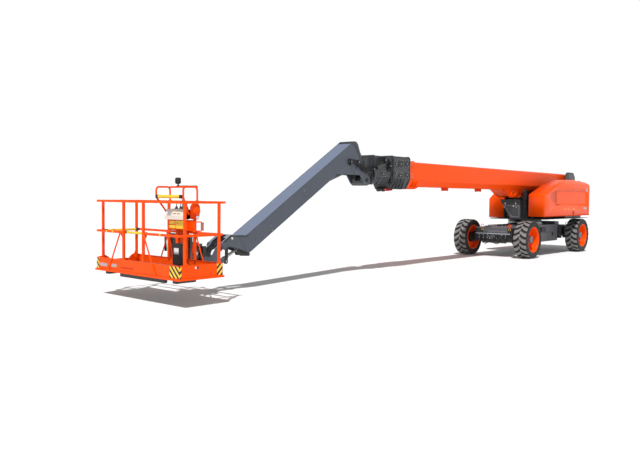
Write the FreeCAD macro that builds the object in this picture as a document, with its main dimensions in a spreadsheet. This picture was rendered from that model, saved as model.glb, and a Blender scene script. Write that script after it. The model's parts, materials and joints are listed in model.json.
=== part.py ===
import FreeCAD, Part
import os
import math

# Telescopic boom lift, millimetres, +Z up, ground at Z = 0.
# +X runs along the boom towards the platform, +Y is the machine's left.
# Local layout is measured from the slewing axis; every finished piece is moved
# back along X by shift_x, so that the origin is under the middle of the machine.

doc = FreeCAD.newDocument("boom_lift")
sheet = doc.addObject("Spreadsheet::Sheet", "Dims")

DIMS = [
    ("shift_x", 6066.0),
    ("tyre_dia", 1155.0), ("tyre_width", 445.0), ("bead_rad", 374.0),
    ("rim_flange_rad", 400.0), ("hub_rad", 112.0),
    ("axle_x", 2030.0), ("wheel_y", 1022.5), ("king_y", 700.0),
    ("frame_half_len", 1350.0), ("frame_half_wid", 600.0),
    ("frame_bot", 400.0), ("frame_top", 960.0), ("plate_t", 20.0),
    ("housing_half", 250.0), ("housing_bot", 560.0), ("housing_top", 900.0), ("housing_y", 560.0),
    ("beam_off", 115.0), ("beam_wid", 190.0), ("beam_high", 220.0),
    ("deck_bot", 1165.0), ("deck_top", 1195.0), ("deck_rear", 3250.0), ("deck_front", 1250.0), ("deck_half", 640.0),
    ("riser_y", 420.0), ("riser_t", 30.0),
    ("luff_x", -2900.0), ("luff_z", 2500.0), ("luff_pin", 60.0),
    ("lift_base_x", -1900.0), ("lift_base_z", 1390.0),
    ("lift_pin_x", 1460.0), ("lift_pin_z", 2000.0),
    ("lift_bore", 140.0), ("lift_rod", 85.0),
    ("boom_half", 300.0), ("boom_top", 2740.0), ("boom_side", 2260.0), ("boom_bot", 2120.0),
    ("boom_flat", 200.0), ("boom_wall", 8.0), ("boom_rear", -3150.0), ("boom_front", 7500.0),
    ("step", 30.0),
    ("jib_x", 9130.0), ("jib_z", 2230.0), ("jib_half", 200.0), ("jib_wall", 10.0),
    ("jibcyl_x", 11300.0), ("jibcyl_z", 1920.0), ("jibrod_x", 9115.0), ("jibrod_z", 2650.0),
    ("level_x", 13560.0), ("level_z", 885.0),
    ("levelcyl_x", 12300.0), ("levelcyl_z", 1190.0), ("levelrod_x", 13450.0), ("levelrod_z", 585.0),
    ("rot_x", 14160.0),
    ("plat_x0", 14460.0), ("plat_x1", 15360.0), ("plat_half", 1225.0), ("lip", 22.0), ("plat_bot", 460.0),
    ("floor_bot", 530.0), ("floor_top", 560.0), ("toe_top", 700.0), ("mid_z", 1180.0), ("rail_top", 1740.0),
    ("tube", 40.0), ("tube_t", 3.0),
    ("hood_y0", 720.0), ("hood_y1", 1240.0), ("hood_t", 6.0), ("hood_bot", 1270.0),
    ("hood_front", 1320.0), ("hood_rear", -2600.0),
]

class Q:
    """A size with both its number and its spreadsheet expression."""
    def __init__(self, v, e):
        self.v = v
        self.e = e
    def __add__(self, o):
        o = q(o); return Q(self.v + o.v, "(%s + %s)" % (self.e, o.e))
    __radd__ = __add__
    def __sub__(self, o):
        o = q(o); return Q(self.v - o.v, "(%s - %s)" % (self.e, o.e))
    def __rsub__(self, o):
        return q(o) - self
    def __mul__(self, o):
        o = q(o); return Q(self.v * o.v, "(%s * %s)" % (self.e, o.e))
    __rmul__ = __mul__
    def __truediv__(self, o):
        o = q(o); return Q(self.v / o.v, "(%s / %s)" % (self.e, o.e))
    def __neg__(self):
        return Q(-self.v, "(0 - %s)" % self.e)

def q(x):
    if isinstance(x, Q):
        return x
    x = float(x)
    return Q(x, "%.6f" % x if x >= 0 else "(0 - %.6f)" % -x)

class Namespace:
    pass
D = Namespace()
for row, (alias, value) in enumerate(DIMS, start=1):
    sheet.set("A%d" % row, alias)
    sheet.set("B%d" % row, repr(value))
    sheet.setAlias("B%d" % row, alias)
    setattr(D, alias, Q(value, "Dims." + alias))
doc.recompute()

NODES = []
counter = [0]

def fresh(base):
    counter[0] += 1
    return "%s_%d" % (base, counter[0])

def bind(obj, prop, val):
    val = q(val)
    if "Dims." in val.e:
        obj.setExpression(prop, val.e)
    else:
        if prop.startswith("Placement.Base."):
            b = FreeCAD.Vector(obj.Placement.Base)
            setattr(b, prop[-1], val.v)
            obj.Placement = FreeCAD.Placement(b, obj.Placement.Rotation)
        else:
            setattr(obj, prop, val.v)

def box(x0, x1, y0, y1, z0, z1):
    o = doc.addObject("Part::Box", fresh("Block"))
    bind(o, "Length", q(x1) - q(x0))
    bind(o, "Width", q(y1) - q(y0))
    bind(o, "Height", q(z1) - q(z0))
    bind(o, "Placement.Base.x", q(x0))
    bind(o, "Placement.Base.y", q(y0))
    bind(o, "Placement.Base.z", q(z0))
    return o

TURN = {"z": FreeCAD.Rotation(),
        "x": FreeCAD.Rotation(FreeCAD.Vector(0, 1, 0), 90),
        "y": FreeCAD.Rotation(FreeCAD.Vector(1, 0, 0), -90)}

def cyl(axis, x, y, z, r, length):
    """Cylinder that starts at (x, y, z) and runs along +axis."""
    o = doc.addObject("Part::Cylinder", fresh("Round"))
    o.Placement = FreeCAD.Placement(FreeCAD.Vector(), TURN[axis])
    bind(o, "Radius", r)
    bind(o, "Height", length)
    bind(o, "Placement.Base.x", x)
    bind(o, "Placement.Base.y", y)
    bind(o, "Placement.Base.z", z)
    return o

def cyl_dir(x, z, deg, r, a, b, y=0.0):
    """Cylinder in the XZ plane through (x, z), leaning deg above +X, from a to b along it."""
    o = doc.addObject("Part::Cylinder", fresh("Ram"))
    c, s = math.cos(math.radians(deg)), math.sin(math.radians(deg))
    o.Placement = FreeCAD.Placement(FreeCAD.Vector(), FreeCAD.Rotation(FreeCAD.Vector(0, 0, 1), FreeCAD.Vector(c, 0, s)))
    bind(o, "Radius", r)
    bind(o, "Height", q(b) - q(a))
    bind(o, "Placement.Base.x", q(x) + q(a) * c)
    bind(o, "Placement.Base.y", y)
    bind(o, "Placement.Base.z", q(z) + q(a) * s)
    return o

def plane(body, role):
    for f in body.Origin.OriginFeatures:
        if f.Role == role:
            return f

def polygon(sk, pts):
    """Closed polygon, each corner placed by two driven distances from the origin."""
    pts = [(q(a), q(b)) for a, b in pts]
    n = len(pts)
    base = len(sk.Geometry)
    for i in range(n):
        a, b = pts[i], pts[(i + 1) % n]
        sk.addGeometry(Part.LineSegment(FreeCAD.Vector(a[0].v, a[1].v, 0), FreeCAD.Vector(b[0].v, b[1].v, 0)), False)
    for i in range(n):
        sk.addConstraint(Sketcher.Constraint("Coincident", base + i, 2, base + (i + 1) % n, 1))
    for i in range(n):
        for kind, val in (("DistanceX", pts[i][0]), ("DistanceY", pts[i][1])):
            if abs(val.v) < 1e-9:
                sk.addConstraint(Sketcher.Constraint("PointOnObject", base + i, 1, -2 if kind == "DistanceX" else -1))
            else:
                c = sk.addConstraint(Sketcher.Constraint(kind, base + i, 1, val.v))
                if "Dims." in val.e:
                    sk.setExpression("Constraints[%d]" % c, val.e)

import Sketcher

def prism(pl, a0, a1, *loops):
    """Body whose sketch lies on the origin plane pl ('xz', 'yz' or 'xy') and is padded from a0 to a1."""
    body = doc.addObject("PartDesign::Body", fresh("Body"))
    sk = body.newObject("Sketcher::SketchObject", fresh("Sketch"))
    role = {"xz": "XZ_Plane", "yz": "YZ_Plane", "xy": "XY_Plane"}[pl]
    sk.AttachmentSupport = [(plane(body, role), "")]
    sk.MapMode = "FlatFace"
    start = -q(a1) if pl == "xz" else q(a0)
    sk.AttachmentOffset = FreeCAD.Placement(FreeCAD.Vector(0, 0, start.v), FreeCAD.Rotation())
    if "Dims." in start.e:
        sk.setExpression("AttachmentOffset.Base.z", start.e)
    for lp in loops:
        polygon(sk, lp)
    pad = body.newObject("PartDesign::Pad", fresh("Pad"))
    pad.Profile = sk
    bind(pad, "Length", q(a1) - q(a0))
    return body

def turned(x, y, z, pts, side=1):
    """Body of revolution about an axis along Y through (x, y, z); pts are (radius, offset along Y)."""
    body = doc.addObject("PartDesign::Body", fresh("Body"))
    sk = body.newObject("Sketcher::SketchObject", fresh("Sketch"))
    sk.AttachmentSupport = [(plane(body, "XY_Plane"), "")]
    sk.MapMode = "FlatFace"
    polygon(sk, [(r, q(t) * side) for r, t in pts])
    rev = body.newObject("PartDesign::Revolution", fresh("Revolution"))
    rev.Profile = sk
    rev.ReferenceAxis = (sk, ["V_Axis"])
    rev.Angle = 360.0
    bind(body, "Placement.Base.x", x)
    bind(body, "Placement.Base.y", y)
    bind(body, "Placement.Base.z", z)
    return body

def fuse(*objs):
    objs = list(objs)
    if len(objs) == 1:
        return objs[0]
    o = doc.addObject("Part::MultiFuse", fresh("Fuse"))
    o.Shapes = objs
    return o

def cut(a, *tools):
    o = doc.addObject("Part::Cut", fresh("Cut"))
    o.Base = a
    o.Tool = fuse(*tools)
    return o

def common(a, b):
    o = doc.addObject("Part::MultiCommon", fresh("Common"))
    o.Shapes = [a, b]
    return o

def node(name, *objs):
    """Finished piece: one placed compound of its solids, moved back by shift_x."""
    o = doc.addObject("Part::Compound", name)
    o.Label = name
    o.Links = list(objs)
    o.setExpression("Placement.Base.x", "(0 - Dims.shift_x)")
    NODES.append(o)
    return o

# ---------------------------------------------------------------- chassis
hl, hw, fb, ft, t = D.frame_half_len, D.frame_half_wid, D.frame_bot, D.frame_top, D.plate_t
frame = cut(box(-hl, hl, -hw, hw, fb, ft),
            box(-hl + t, hl - t, -hw + t, hw - t, fb - 10, ft - t),
            cyl("y", 920, -hw - 10, 640, 60, 2 * hw + 20),
            cyl("y", -920, -hw - 10, 640, 60, 2 * hw + 20))
necks = [cut(box(hl - 5, D.axle_x - D.housing_half, -340, 340, 500, 899.5), box(hl - 10, 3000, -320, 320, 490, 880)),
         cut(box(-D.axle_x + D.housing_half, -hl + 5, -340, 340, 500, 899.5), box(-3000, -hl + 10, -320, 320, 490, 880))]
webs = [box(-410, -390, -hw + 5, hw - 5, fb, ft - 5), box(390, 410, -hw + 5, hw - 5, fb, ft - 5)]
node("chassis_frame", fuse(frame, *necks, *webs))
node("slew_ring", cut(cyl("z", 0, 0, ft, 540, 110), cyl("z", 0, 0, ft - 10, 430, 140)))

for end, sx in (("front", 1), ("rear", -1)):
    ax = D.axle_x * sx
    h = box(ax - D.housing_half, ax + D.housing_half, -D.housing_y, D.housing_y, D.housing_bot, D.housing_top)
    gaps = [box(ax + k * D.beam_off - D.beam_wid / 2 - 6, ax + k * D.beam_off + D.beam_wid / 2 + 6, -700, 700,
                D.housing_bot + 54, D.housing_bot + 66 + D.beam_high) for k in (-1, 1)]
    lid = box(ax - 290, ax + 290, -D.frame_half_wid + 10, D.frame_half_wid - 10, D.housing_top, D.housing_top + 22)
    if sx > 0:
        top = [box(ax - 180, ax + 190, -330, 470, D.housing_top + 22, 966), cyl("z", ax + 90, 120, 960, 66, 62),
               box(ax + D.housing_half - 5, ax + 290, -D.frame_half_wid + 10, D.frame_half_wid - 10, 712, 742)]
    else:
        top = [box(ax - 170, ax + 180, -300, 300, D.housing_top + 22, 1040)]
    node("%s_axle_housing" % end, fuse(cut(h, *gaps), lid, *top))
    for side, sy in (("left", 1), ("right", -1)):
        tag = "%s_%s" % (end, side)
        bx = ax + D.beam_off * (sy * sx)
        def yy(a, b):
            return (q(a), q(b)) if sy > 0 else (-q(b), -q(a))
        y0, y1 = yy(-530, 612)
        beam = box(bx - D.beam_wid / 2, bx + D.beam_wid / 2, y0, y1, D.housing_bot + 60, D.housing_bot + 60 + D.beam_high)
        y0, y1 = yy(600, 630)
        flange = box(ax - 215, ax + 215, y0, y1, 470, 885)
        y0, y1 = yy(625, 750)
        lug_t = box(ax - 60, ax + 60, y0, y1, 780, 820)
        lug_b = box(ax - 60, ax + 60, y0, y1, 500, 540)
        pin = cyl("z", ax, D.king_y * sy, 470, 32, 380)
        node("axle_beam_" + tag, fuse(beam, flange, lug_t, lug_b, pin))
        y0, y1 = yy(662, 822)
        body = cut(box(ax - 58, ax + 58, y0, y1, 547, 773), cyl("z", ax, D.king_y * sy, 500, 33, 320))
        ys = q(815) if sy > 0 else q(-932)
        drum = cyl("y", ax, ys, D.tyre_dia / 2, 165, 117)
        node("steering_knuckle_" + tag, fuse(body, drum))
        w2 = D.tyre_width / 2
        R = D.tyre_dia / 2
        wx, wy = ax, D.wheel_y * sy
        node("tyre_" + tag, turned(wx, wy, R, [(D.bead_rad, -185), (401, -190.5), (401, -205), (410, -207), (470, -w2), (535, -w2), (R, -180), (R, 180),
                                               (535, w2), (470, w2), (410, 207), (401, 205), (401, 190.5), (D.bead_rad, 185)], sy))
        fl = D.rim_flange_rad
        node("rim_" + tag, turned(wx, wy, R, [(fl, -206), (fl, -192), (373, -186), (373, 186), (fl, 192), (fl, 206), (362, 206), (355, 0),
                                              (300, -66), (D.hub_rad, -66), (D.hub_rad, 130), (0, 130), (0, -84), (300, -84), (346, -60), (355, -206)], sy))

# ---------------------------------------------------------------- turntable
dt, db = D.deck_top, D.deck_bot
deck = box(-D.deck_rear, D.deck_front, -D.deck_half, D.deck_half, db, dt)
drum = cut(cyl("z", 0, 0, 1076, 545, 88.5), cyl("z", 0, 0, 1070, 430, 100))
node("turntable_drum", drum)
ry, rt = D.riser_y, D.riser_t
side = [(D.luff_x - 330, dt - 5), (240, dt - 5), (240, 1380), (120, 1604), (-1500, 2000), (-2260, 2480),
        (-2420, 2760), (-2520, 2805), (-3060, 2805), (-3230, 2650)]
risers = [prism("xz", ry, ry + rt, side), prism("xz", -ry - rt, -ry, side)]
bore = cyl("y", D.luff_x, -700, D.luff_z, D.luff_pin + 0.6, 1400)
ear = [(D.lift_base_x - 170, dt - 7), (D.lift_base_x + 170, dt - 7), (D.lift_base_x + 100, 1500), (D.lift_base_x - 100, 1500)]
ears = [prism("xz", 160, 195, ear), prism("xz", -195, -160, ear)]
lift_pin = cyl("y", D.lift_base_x, -210, D.lift_base_z, 50, 420)
floors = [box(D.hood_rear + 12, D.hood_front - 12, D.deck_half - 20, D.hood_y1 - 12, dt - 14, dt - 4),
          box(D.hood_rear + 12, 198, -D.hood_y1 + 12, -D.deck_half + 20, dt - 14, dt - 4)]
node("turntable_frame", cut(fuse(deck, *floors, *risers, *ears, lift_pin), bore))
node("counterweight",
     box(-3240, -2660, ry + rt + 2, 700, dt, 2020),
     box(-3240, -2660, -700, -ry - rt - 2, dt, 2020),
     box(-3240, -2170, -ry + 2, ry - 2, dt, 1880))

def hood(outer_xz, outer_yz, y0, y1, x0, x1):
    return common(prism("xz", y0, y1, outer_xz), prism("yz", x0, x1, outer_yz))

ht = D.hood_t
def left_shape(g, floor):
    return hood([(D.hood_front - g, floor), (D.hood_front - g, 1970 - g), (380, 2275 - g), (-560, 2475 - g), (-1500, 2505 - g), (-2480, 2445 - g), (D.hood_rear + g, 2300), (D.hood_rear + g, floor)],
                [(D.hood_y0 - 20 + (-g if g.v == 0 else -40), floor), (D.hood_y1 - g, floor), (D.hood_y1 - g, 2350 - g / 2), (1000, 2506 - g), (D.hood_y0 - 20 + (-g if g.v == 0 else -40), 2506 - g)],
                D.hood_y0 if g.v == 0 else q(650), D.hood_y1, D.hood_rear, D.hood_front)
zero = Q(0.0, "0")
door_l = (-2180, 390, 1670, 2090)
hood_l = cut(cut(left_shape(zero, D.hood_bot), left_shape(ht, D.hood_bot - 10)),
             box(door_l[0] - 6, door_l[1] + 6, D.hood_y1 - 12, D.hood_y1 + 5, door_l[2] - 6, door_l[3] + 16))
node("hood_left", hood_l)
node("hood_door_left", fuse(box(door_l[0], door_l[1], D.hood_y1 - ht, D.hood_y1, door_l[2], door_l[3]),
                            box(door_l[0] + 120, door_l[1] - 120, D.hood_y1 - 24, D.hood_y1 - ht + 1, door_l[2] + 60, door_l[2] + 90),
                            box(door_l[0] + 120, door_l[1] - 120, D.hood_y1 - 24, D.hood_y1 - ht + 1, door_l[3] - 120, door_l[3] - 90)))

def right_shape(g, floor):
    top = [(-D.hood_y1 + g, floor), (-D.hood_y1 + g, 1815), (-1010, 2060 - g), (-640, 2200 - g), (-640, floor)]
    if g.v:
        top = [(-D.hood_y1 + g, floor), (-D.hood_y1 + g, 1812), (-1010, 2053), (-600, 2206), (-600, floor)]
    return prism("yz", D.hood_rear + g, q(210) - g, top)
door_r = (-2180, -60, 1300, 1780)
hood_r = cut(cut(common(right_shape(zero, q(1190)), box(D.hood_rear, 210, -D.hood_y1, -650, 1180, 2400)), right_shape(ht, q(1180))),
             box(door_r[0] - 6, door_r[1] + 6, -D.hood_y1 - 5, -D.hood_y1 + 12, door_r[2] - 6, door_r[3] + 16))
node("hood_right", hood_r)
node("hood_door_right", fuse(box(door_r[0], door_r[1], -D.hood_y1, -D.hood_y1 + ht, door_r[2], door_r[3]),
                             box(door_r[0] + 120, door_r[1] - 120, -D.hood_y1 + ht - 1, -D.hood_y1 + 24, door_r[2] + 60, door_r[2] + 90),
                             box(door_r[0] + 120, door_r[1] - 120, -D.hood_y1 + ht - 1, -D.hood_y1 + 24, door_r[3] - 120, door_r[3] - 90)))
node("engine_block", box(-1750, -650, -1125, -700, 1200, 1880))
node("hydraulic_tank", cut(box(-1900, -500, 770, 1190, dt + 14, 1900), box(-1895, -505, 775, 1185, dt + 19, 1895)))
node("front_cover", cut(prism("yz", 945, 1215, [(30, dt), (395, dt), (390, 1800), (-290, 1800)]),
                        prism("yz", 949, 1211, [(38, dt + 4), (391, dt + 4), (386, 1796), (-281, 1796)])))

# ---------------------------------------------------------------- boom
def section(i):
    """Outline of section i (0 = base); each is one step smaller all round."""
    s = D.step * i
    return (D.boom_half - s, D.boom_top - s * 1.2, D.boom_side, D.boom_bot + s * 1.2, D.boom_flat - s)

def outline(half, top, sidez, bot, flat, g=0):
    c = 34 - g * 0.6
    return [(-flat + g * 0.4, bot + g), (flat - g * 0.4, bot + g), (half - g, sidez), (half - g, top - c), (half - c, top - g), (-half + c, top - g),
            (-half + g, top - c), (-half + g, sidez)]

def tube(i, x0, x1):
    return prism("yz", x0, x1, outline(*section(i)), outline(*section(i), g=D.boom_wall))

base = tube(0, D.boom_rear, D.boom_front)
hf, tp, sd, bt, fl = section(0)
ring = prism("yz", D.boom_front - 110, D.boom_front, outline(hf + 22, tp + 22, sd, bt - 24, fl + 14), outline(hf - 1, tp - 1, sd, bt + 1, fl - 1))
skid = [box(7080, D.boom_front, -fl + 10, -fl + 50, bt - 70, bt + 4), box(7080, D.boom_front, fl - 50, fl - 10, bt - 70, bt + 4)]
boss = [cyl("y", D.luff_x, -410, D.luff_z, 130, 112), cyl("y", D.luff_x, 298, D.luff_z, 130, 112)]
axle = [cyl("y", D.luff_x, -490, D.luff_z, D.luff_pin, 195), cyl("y", D.luff_x, 295, D.luff_z, D.luff_pin, 195)]
cheek = [(1080, 2125), (2120, 2125), (1640, 1930), (D.lift_pin_x + 70, 1875), (D.lift_pin_x - 70, 1875), (1300, 1950)]
node("boom_base", fuse(base, ring, *skid, *boss, *axle, prism("xz", 165, 197, cheek), cyl("y", D.lift_pin_x, 165, D.lift_pin_z, 62, 55),
                       prism("xz", -197, -165, cheek), cyl("y", D.lift_pin_x, -220, D.lift_pin_z, 62, 55)))
FRONTS = [7500, 8242, 8950, 8960]
REARS = [-3150, -2440, -2300, -2160]
for i, name in ((1, "boom_section_2"), (2, "boom_section_3")):
    hf, tp, sd, bt, fl = section(i)
    body = tube(i, REARS[i], FRONTS[i])
    x0 = FRONTS[i - 1] + 18
    if i == 1:
        out = outline(q(330), q(2850), q(2290), q(2060), q(200))
    else:
        out = outline(q(290), q(2830), q(2330), q(2170), q(170))
    collar = prism("yz", x0, FRONTS[i], out, [(a * 0.965, 2455 + (q(b) - 2455) * 0.965) for a, b in out])
    ends = [prism("yz", a, b, out, outline(hf - 1, tp - 1, sd, bt + 1, fl - 1)) for a, b in ((x0, x0 + 25), (FRONTS[i] - 25, FRONTS[i]))]
    node(name, fuse(body, collar, *ends))
hf, tp, sd, bt, fl = section(3)
tip = tube(3, REARS[3], FRONTS[3])
head = prism("xz", -185, 185, [(8968, 2205), (8968, 2745), (9130, 2755), (9205, 2690), (9225, 2420), (9250, 2250), (9235, 2160), (9150, 2105), (9060, 2120)])
head = cut(head, prism("xz", -75, 75, [(8950, 2330), (9110, 2330), (9165, 2284), (9300, 2168), (9300, 2900), (8950, 2900)]))
jpin = cyl("y", D.jib_x, -260, D.jib_z, 45, 520)
head_plate = prism("yz", 8960, 8990, [(-225, 2200), (225, 2200), (240, 2330), (240, 2745), (-240, 2745), (-240, 2330)])
node("boom_section_4", tip)
node("boom_head", fuse(cut(head_plate, box(8950, 9000, -75, 75, 2330, 2900)), head, jpin))

# lift cylinder
ax_, az_ = D.lift_pin_x - D.lift_base_x, D.lift_pin_z - D.lift_base_z
lift_deg = math.degrees(math.atan2(az_.v, ax_.v))
lift_len = math.hypot(az_.v, ax_.v)
eye = cut(fuse(cyl("y", D.lift_base_x, -150, D.lift_base_z, 105, 300), cyl_dir(D.lift_base_x, D.lift_base_z, lift_deg, D.lift_bore, 60, lift_len - 580)),
          cyl("y", D.lift_base_x, -200, D.lift_base_z, 50.6, 400),
          cyl_dir(D.lift_base_x, D.lift_base_z, lift_deg, D.lift_rod + 0.6, 300, lift_len))
node("lift_cylinder_barrel", eye)
node("lift_cylinder_rod", fuse(cyl_dir(D.lift_base_x, D.lift_base_z, lift_deg, D.lift_rod, 330, lift_len - 60),
                               cyl("y", D.lift_pin_x, -150, D.lift_pin_z, 95, 300)))

# ---------------------------------------------------------------- jib
jy, jw = D.jib_half, D.jib_wall
plate_out = [(9655, 3118), (9560, 3118), (9490, 3060), (9345, 2740), (9300, 2420), (9100, 2340), (9025, 2270), (9020, 2190), (9075, 2130), (9170, 2110),
             (9260, 2170), (9400, 2345), (10230, 2345), (12905, 722), (13140, 800), (13420, 872), (13500, 832), (13560, 815), (13615, 838), (13636, 885), (13628, 926), (13372, 1085), (12985, 1065)]
sides = [prism("xz", jy - jw, jy, plate_out), prism("xz", -jy, -jy + jw, plate_out)]
top_pl = prism("xz", -jy + 2, jy - 2, [(9560, 3118), (9655, 3118), (12985, 1065), (12978, 1054), (9649, 3106), (9566, 3106), (9500, 3052), (9397, 2826), (9386, 2830), (9490, 3060)])
bot_pl = prism("xz", -jy + 2, jy - 2, [(11100, 1817), (12905, 722), (12911, 732), (11106, 1827)])
doubler = [prism("xz", jy - 1, jy + 18, [(9300, 2420), (9100, 2340), (9025, 2270), (9020, 2190), (9075, 2130), (9170, 2110), (9260, 2170), (9400, 2345), (9640, 2345), (9520, 2560)]),
           prism("xz", -jy - 18, -jy + 1, [(9300, 2420), (9100, 2340), (9025, 2270), (9020, 2190), (9075, 2130), (9170, 2110), (9260, 2170), (9400, 2345), (9640, 2345), (9520, 2560)])]
fork = [cyl("y", D.level_x, jy - 30, D.level_z, 68, 50), cyl("y", D.level_x, -jy - 20, D.level_z, 68, 50)]
jibcyl_pin = cyl("y", D.jibcyl_x, -jy + 2, D.jibcyl_z, 32, 2 * jy - 4)
levelcyl_pin = cyl("y", D.levelcyl_x, -jy + 2, D.levelcyl_z, 28, 2 * jy - 4)
node("jib", cut(fuse(*sides, top_pl, bot_pl, *doubler, *fork, jibcyl_pin, levelcyl_pin),
                cyl("y", D.jib_x, -300, D.jib_z, 45.6, 600), cyl("y", D.level_x, -300, D.level_z, 35.6, 600)))

def ram(name, x0, z0, x1, z1, rb, rr, pin, half, tail, gap, back):
    """Barrel with its eye at (x0, z0) and rod with its eye at (x1, z1)."""
    dx, dz = x1 - x0, z1 - z0
    deg = math.degrees(math.atan2(dz.v, dx.v))
    ln = math.hypot(dz.v, dx.v)
    node(name + "_barrel", cut(fuse(cyl("y", x0, -half, z0, rb * 0.85, 2 * half), cyl_dir(x0, z0, deg, rb, rb * 0.3, ln - tail)),
                               cyl("y", x0, -half - 20, z0, pin + 0.6, 2 * half + 40), cyl_dir(x0, z0, deg, rr + 0.6, rb * 1.8, ln)))
    node(name + "_rod", fuse(cyl_dir(x0, z0, deg, rr, rb * 1.8 + 20 + back, ln - rr), cyl("y", x1, -gap, z1, rr * 1.35, 2 * gap)))

ram("jib_cylinder", D.jibcyl_x, D.jibcyl_z, D.jibrod_x, D.jibrod_z, 72, 36, 32, 60, 420, 55, 215)
ram("levelling_cylinder", D.levelcyl_x, D.levelcyl_z, D.levelrod_x, D.levelrod_z, 56, 30, 28, 50, 430, 45, 345)

# ---------------------------------------------------------------- levelling yoke and rotator
yoke_side = [(13500, 950), (13590, 946), (13705, 842), (13768, 740), (13830, 700), (13990, 700), (13985, 560), (13560, 550), (13500, 575), (13450, 560), (13405, 590), (13405, 830), (13450, 885)]
yoke_hole = [(13462, 650), (13560, 632), (13600, 660), (13605, 720), (13585, 775), (13540, 812), (13480, 812), (13462, 790)]
yk = [cut(fuse(prism("xz", a, b, yoke_side), cyl("y", D.levelrod_x, a, D.levelrod_z, 52, 25)), prism("xz", a - 1, b + 1, yoke_hole)) for a, b in ((120, 145), (-145, -120))]
ytray = box(13640, 13945, -121, 121, 560, 580)
ypin = cyl("y", D.level_x, -235, D.level_z, 35, 470)
yblock = box(13935, 14020, -146, 146, 650, 900)
rot = cyl("z", D.rot_x, 0, 650, 150, 250)
node("levelling_yoke", fuse(*yk, ypin, yblock, ytray))
node("rotator", cut(rot, box(13800, 14020, -300, 300, 600, 950)))

# ---------------------------------------------------------------- platform
px0, px1, ph = D.plat_x0, D.plat_x1, D.plat_half
tb, tt = D.tube, D.tube_t

def tubes(segs, *plates):
    """Square tubes (x0, x1, y0, y1, z0, z1), hollow inside, with solid plates added."""
    outs = [box(*s) for s in segs]
    ins = [box(q(a) + tt, q(b) - tt, q(c) + tt, q(d) - tt, q(e) + tt, q(f) - tt) for a, b, c, d, e, f in segs]
    return fuse(cut(fuse(*outs), *ins), *plates) if plates else cut(fuse(*outs), *ins)

rz, mz, pb, tz = D.rail_top, D.mid_z, D.plat_bot, D.toe_top
def bar(x0, y0, z0, x1, y1, z1, r):
    """Round brace from one point to another."""
    o = doc.addObject("Part::Cylinder", fresh("Brace"))
    a, b = FreeCAD.Vector(q(x0).v, q(y0).v, q(z0).v), FreeCAD.Vector(q(x1).v, q(y1).v, q(z1).v)
    o.Placement = FreeCAD.Placement(FreeCAD.Vector(), FreeCAD.Rotation(FreeCAD.Vector(0, 0, 1), b - a))
    bind(o, "Radius", r)
    bind(o, "Height", (b - a).Length)
    bind(o, "Placement.Base.x", x0)
    bind(o, "Placement.Base.y", y0)
    bind(o, "Placement.Base.z", z0)
    return o

lp = D.lip
lip = [box(px1 + 0.5, px1 + lp, -ph - lp, ph + lp, pb, pb + 34), box(px0 - lp, px0 - 0.5, -ph - lp, ph + lp, pb, pb + 34),
       box(px0 - 1, px1 + 1, ph + 0.5, ph + lp, pb, pb + 34), box(px0 - 1, px1 + 1, -ph - lp, -ph - 0.5, pb, pb + 34)]
floor = box(px0 + 6.5, px1 - 6.5, -ph + 6.5, ph - 6.5, D.floor_bot, D.floor_top)
ribs = [box(px0 + 40, px1 - 40, y - 20, y + 20, pb + 10, D.floor_bot + 5) for y in (-900, -300, 300, 900)]
node("platform_floor", fuse(floor, *ribs))
node("platform_lip", fuse(*lip))
node("platform_beams", box(px0 + 150, px0 + 210, -700, 700, pb - 60, pb + 9.5),
     fuse(box(px1 - 125, px1 - 65, -570, 740, pb - 75, pb + 9.5), box(px1 - 400, px1 - 124, -200, -120, pb - 60, pb + 9.5),
          box(px1 - 400, px1 - 124, 420, 500, pb - 60, pb + 9.5)),
     box(px1 - 480, px1 - 70, 950, 1045, pb - 62, pb + 9.5), box(px1 - 480, px1 - 70, -1045, -950, pb - 62, pb + 9.5))

xf0, xf1 = px1 - tb, px1
xr0, xr1 = px0, px0 + tb
# front long side, with its central gate
f_segs = [(xf0, xf1, -ph, ph, rz - tb, rz), (xf0, xf1, -ph, q(-360), mz - tb / 2, mz + tb / 2), (xf0, xf1, q(190), ph, mz - tb / 2, mz + tb / 2)]
for y in (-380, 210):
    f_segs.append((xf0, xf1, q(y) - tb / 2, q(y) + tb / 2, tz - 5, rz - tb + 5))
braces = [bar(px1 + 8, -450, mz - 12, px1 + 8.5, -810, pb + 54, 13), bar(px1 + 8, 250, mz - 12, px1 + 8.5, 590, pb + 54, 13)]
node("rail_front", tubes(f_segs, box(px1 - 6, px1, -ph, ph, pb, tz), *braces))
# rear long side, next to the rotator
r_segs = [(xr0 - 58, xr0 + 14, ph - tb, ph, rz - tb, rz), (xr0 - 58, xr0 + 14, -ph, -ph + tb, rz - tb, rz), (xr0, xr1, -ph, ph, rz - tb, rz), (xr0, xr1, -ph, ph, mz - tb / 2, mz + tb / 2)]
for y in (-250, 500):
    r_segs.append((xr0, xr1, q(y) - tb / 2, q(y) + tb / 2, tz - 5, rz - tb + 5))
braces = [bar(px0 + 12, -265, mz - 5, px0 + 12, -500, tz - 10, 12), bar(px0 + 12, 515, mz - 5, px0 + 12, 720, tz - 10, 12),
          bar(px0 + 12, -245, mz - 5, px0 + 12, -150, tz - 10, 12), bar(px0 + 12, 495, mz - 5, px0 + 12, 380, tz - 10, 12)]
node("rail_rear", tubes(r_segs, box(px0, px0 + 6, -ph, ph, pb, tz), *braces))
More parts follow.
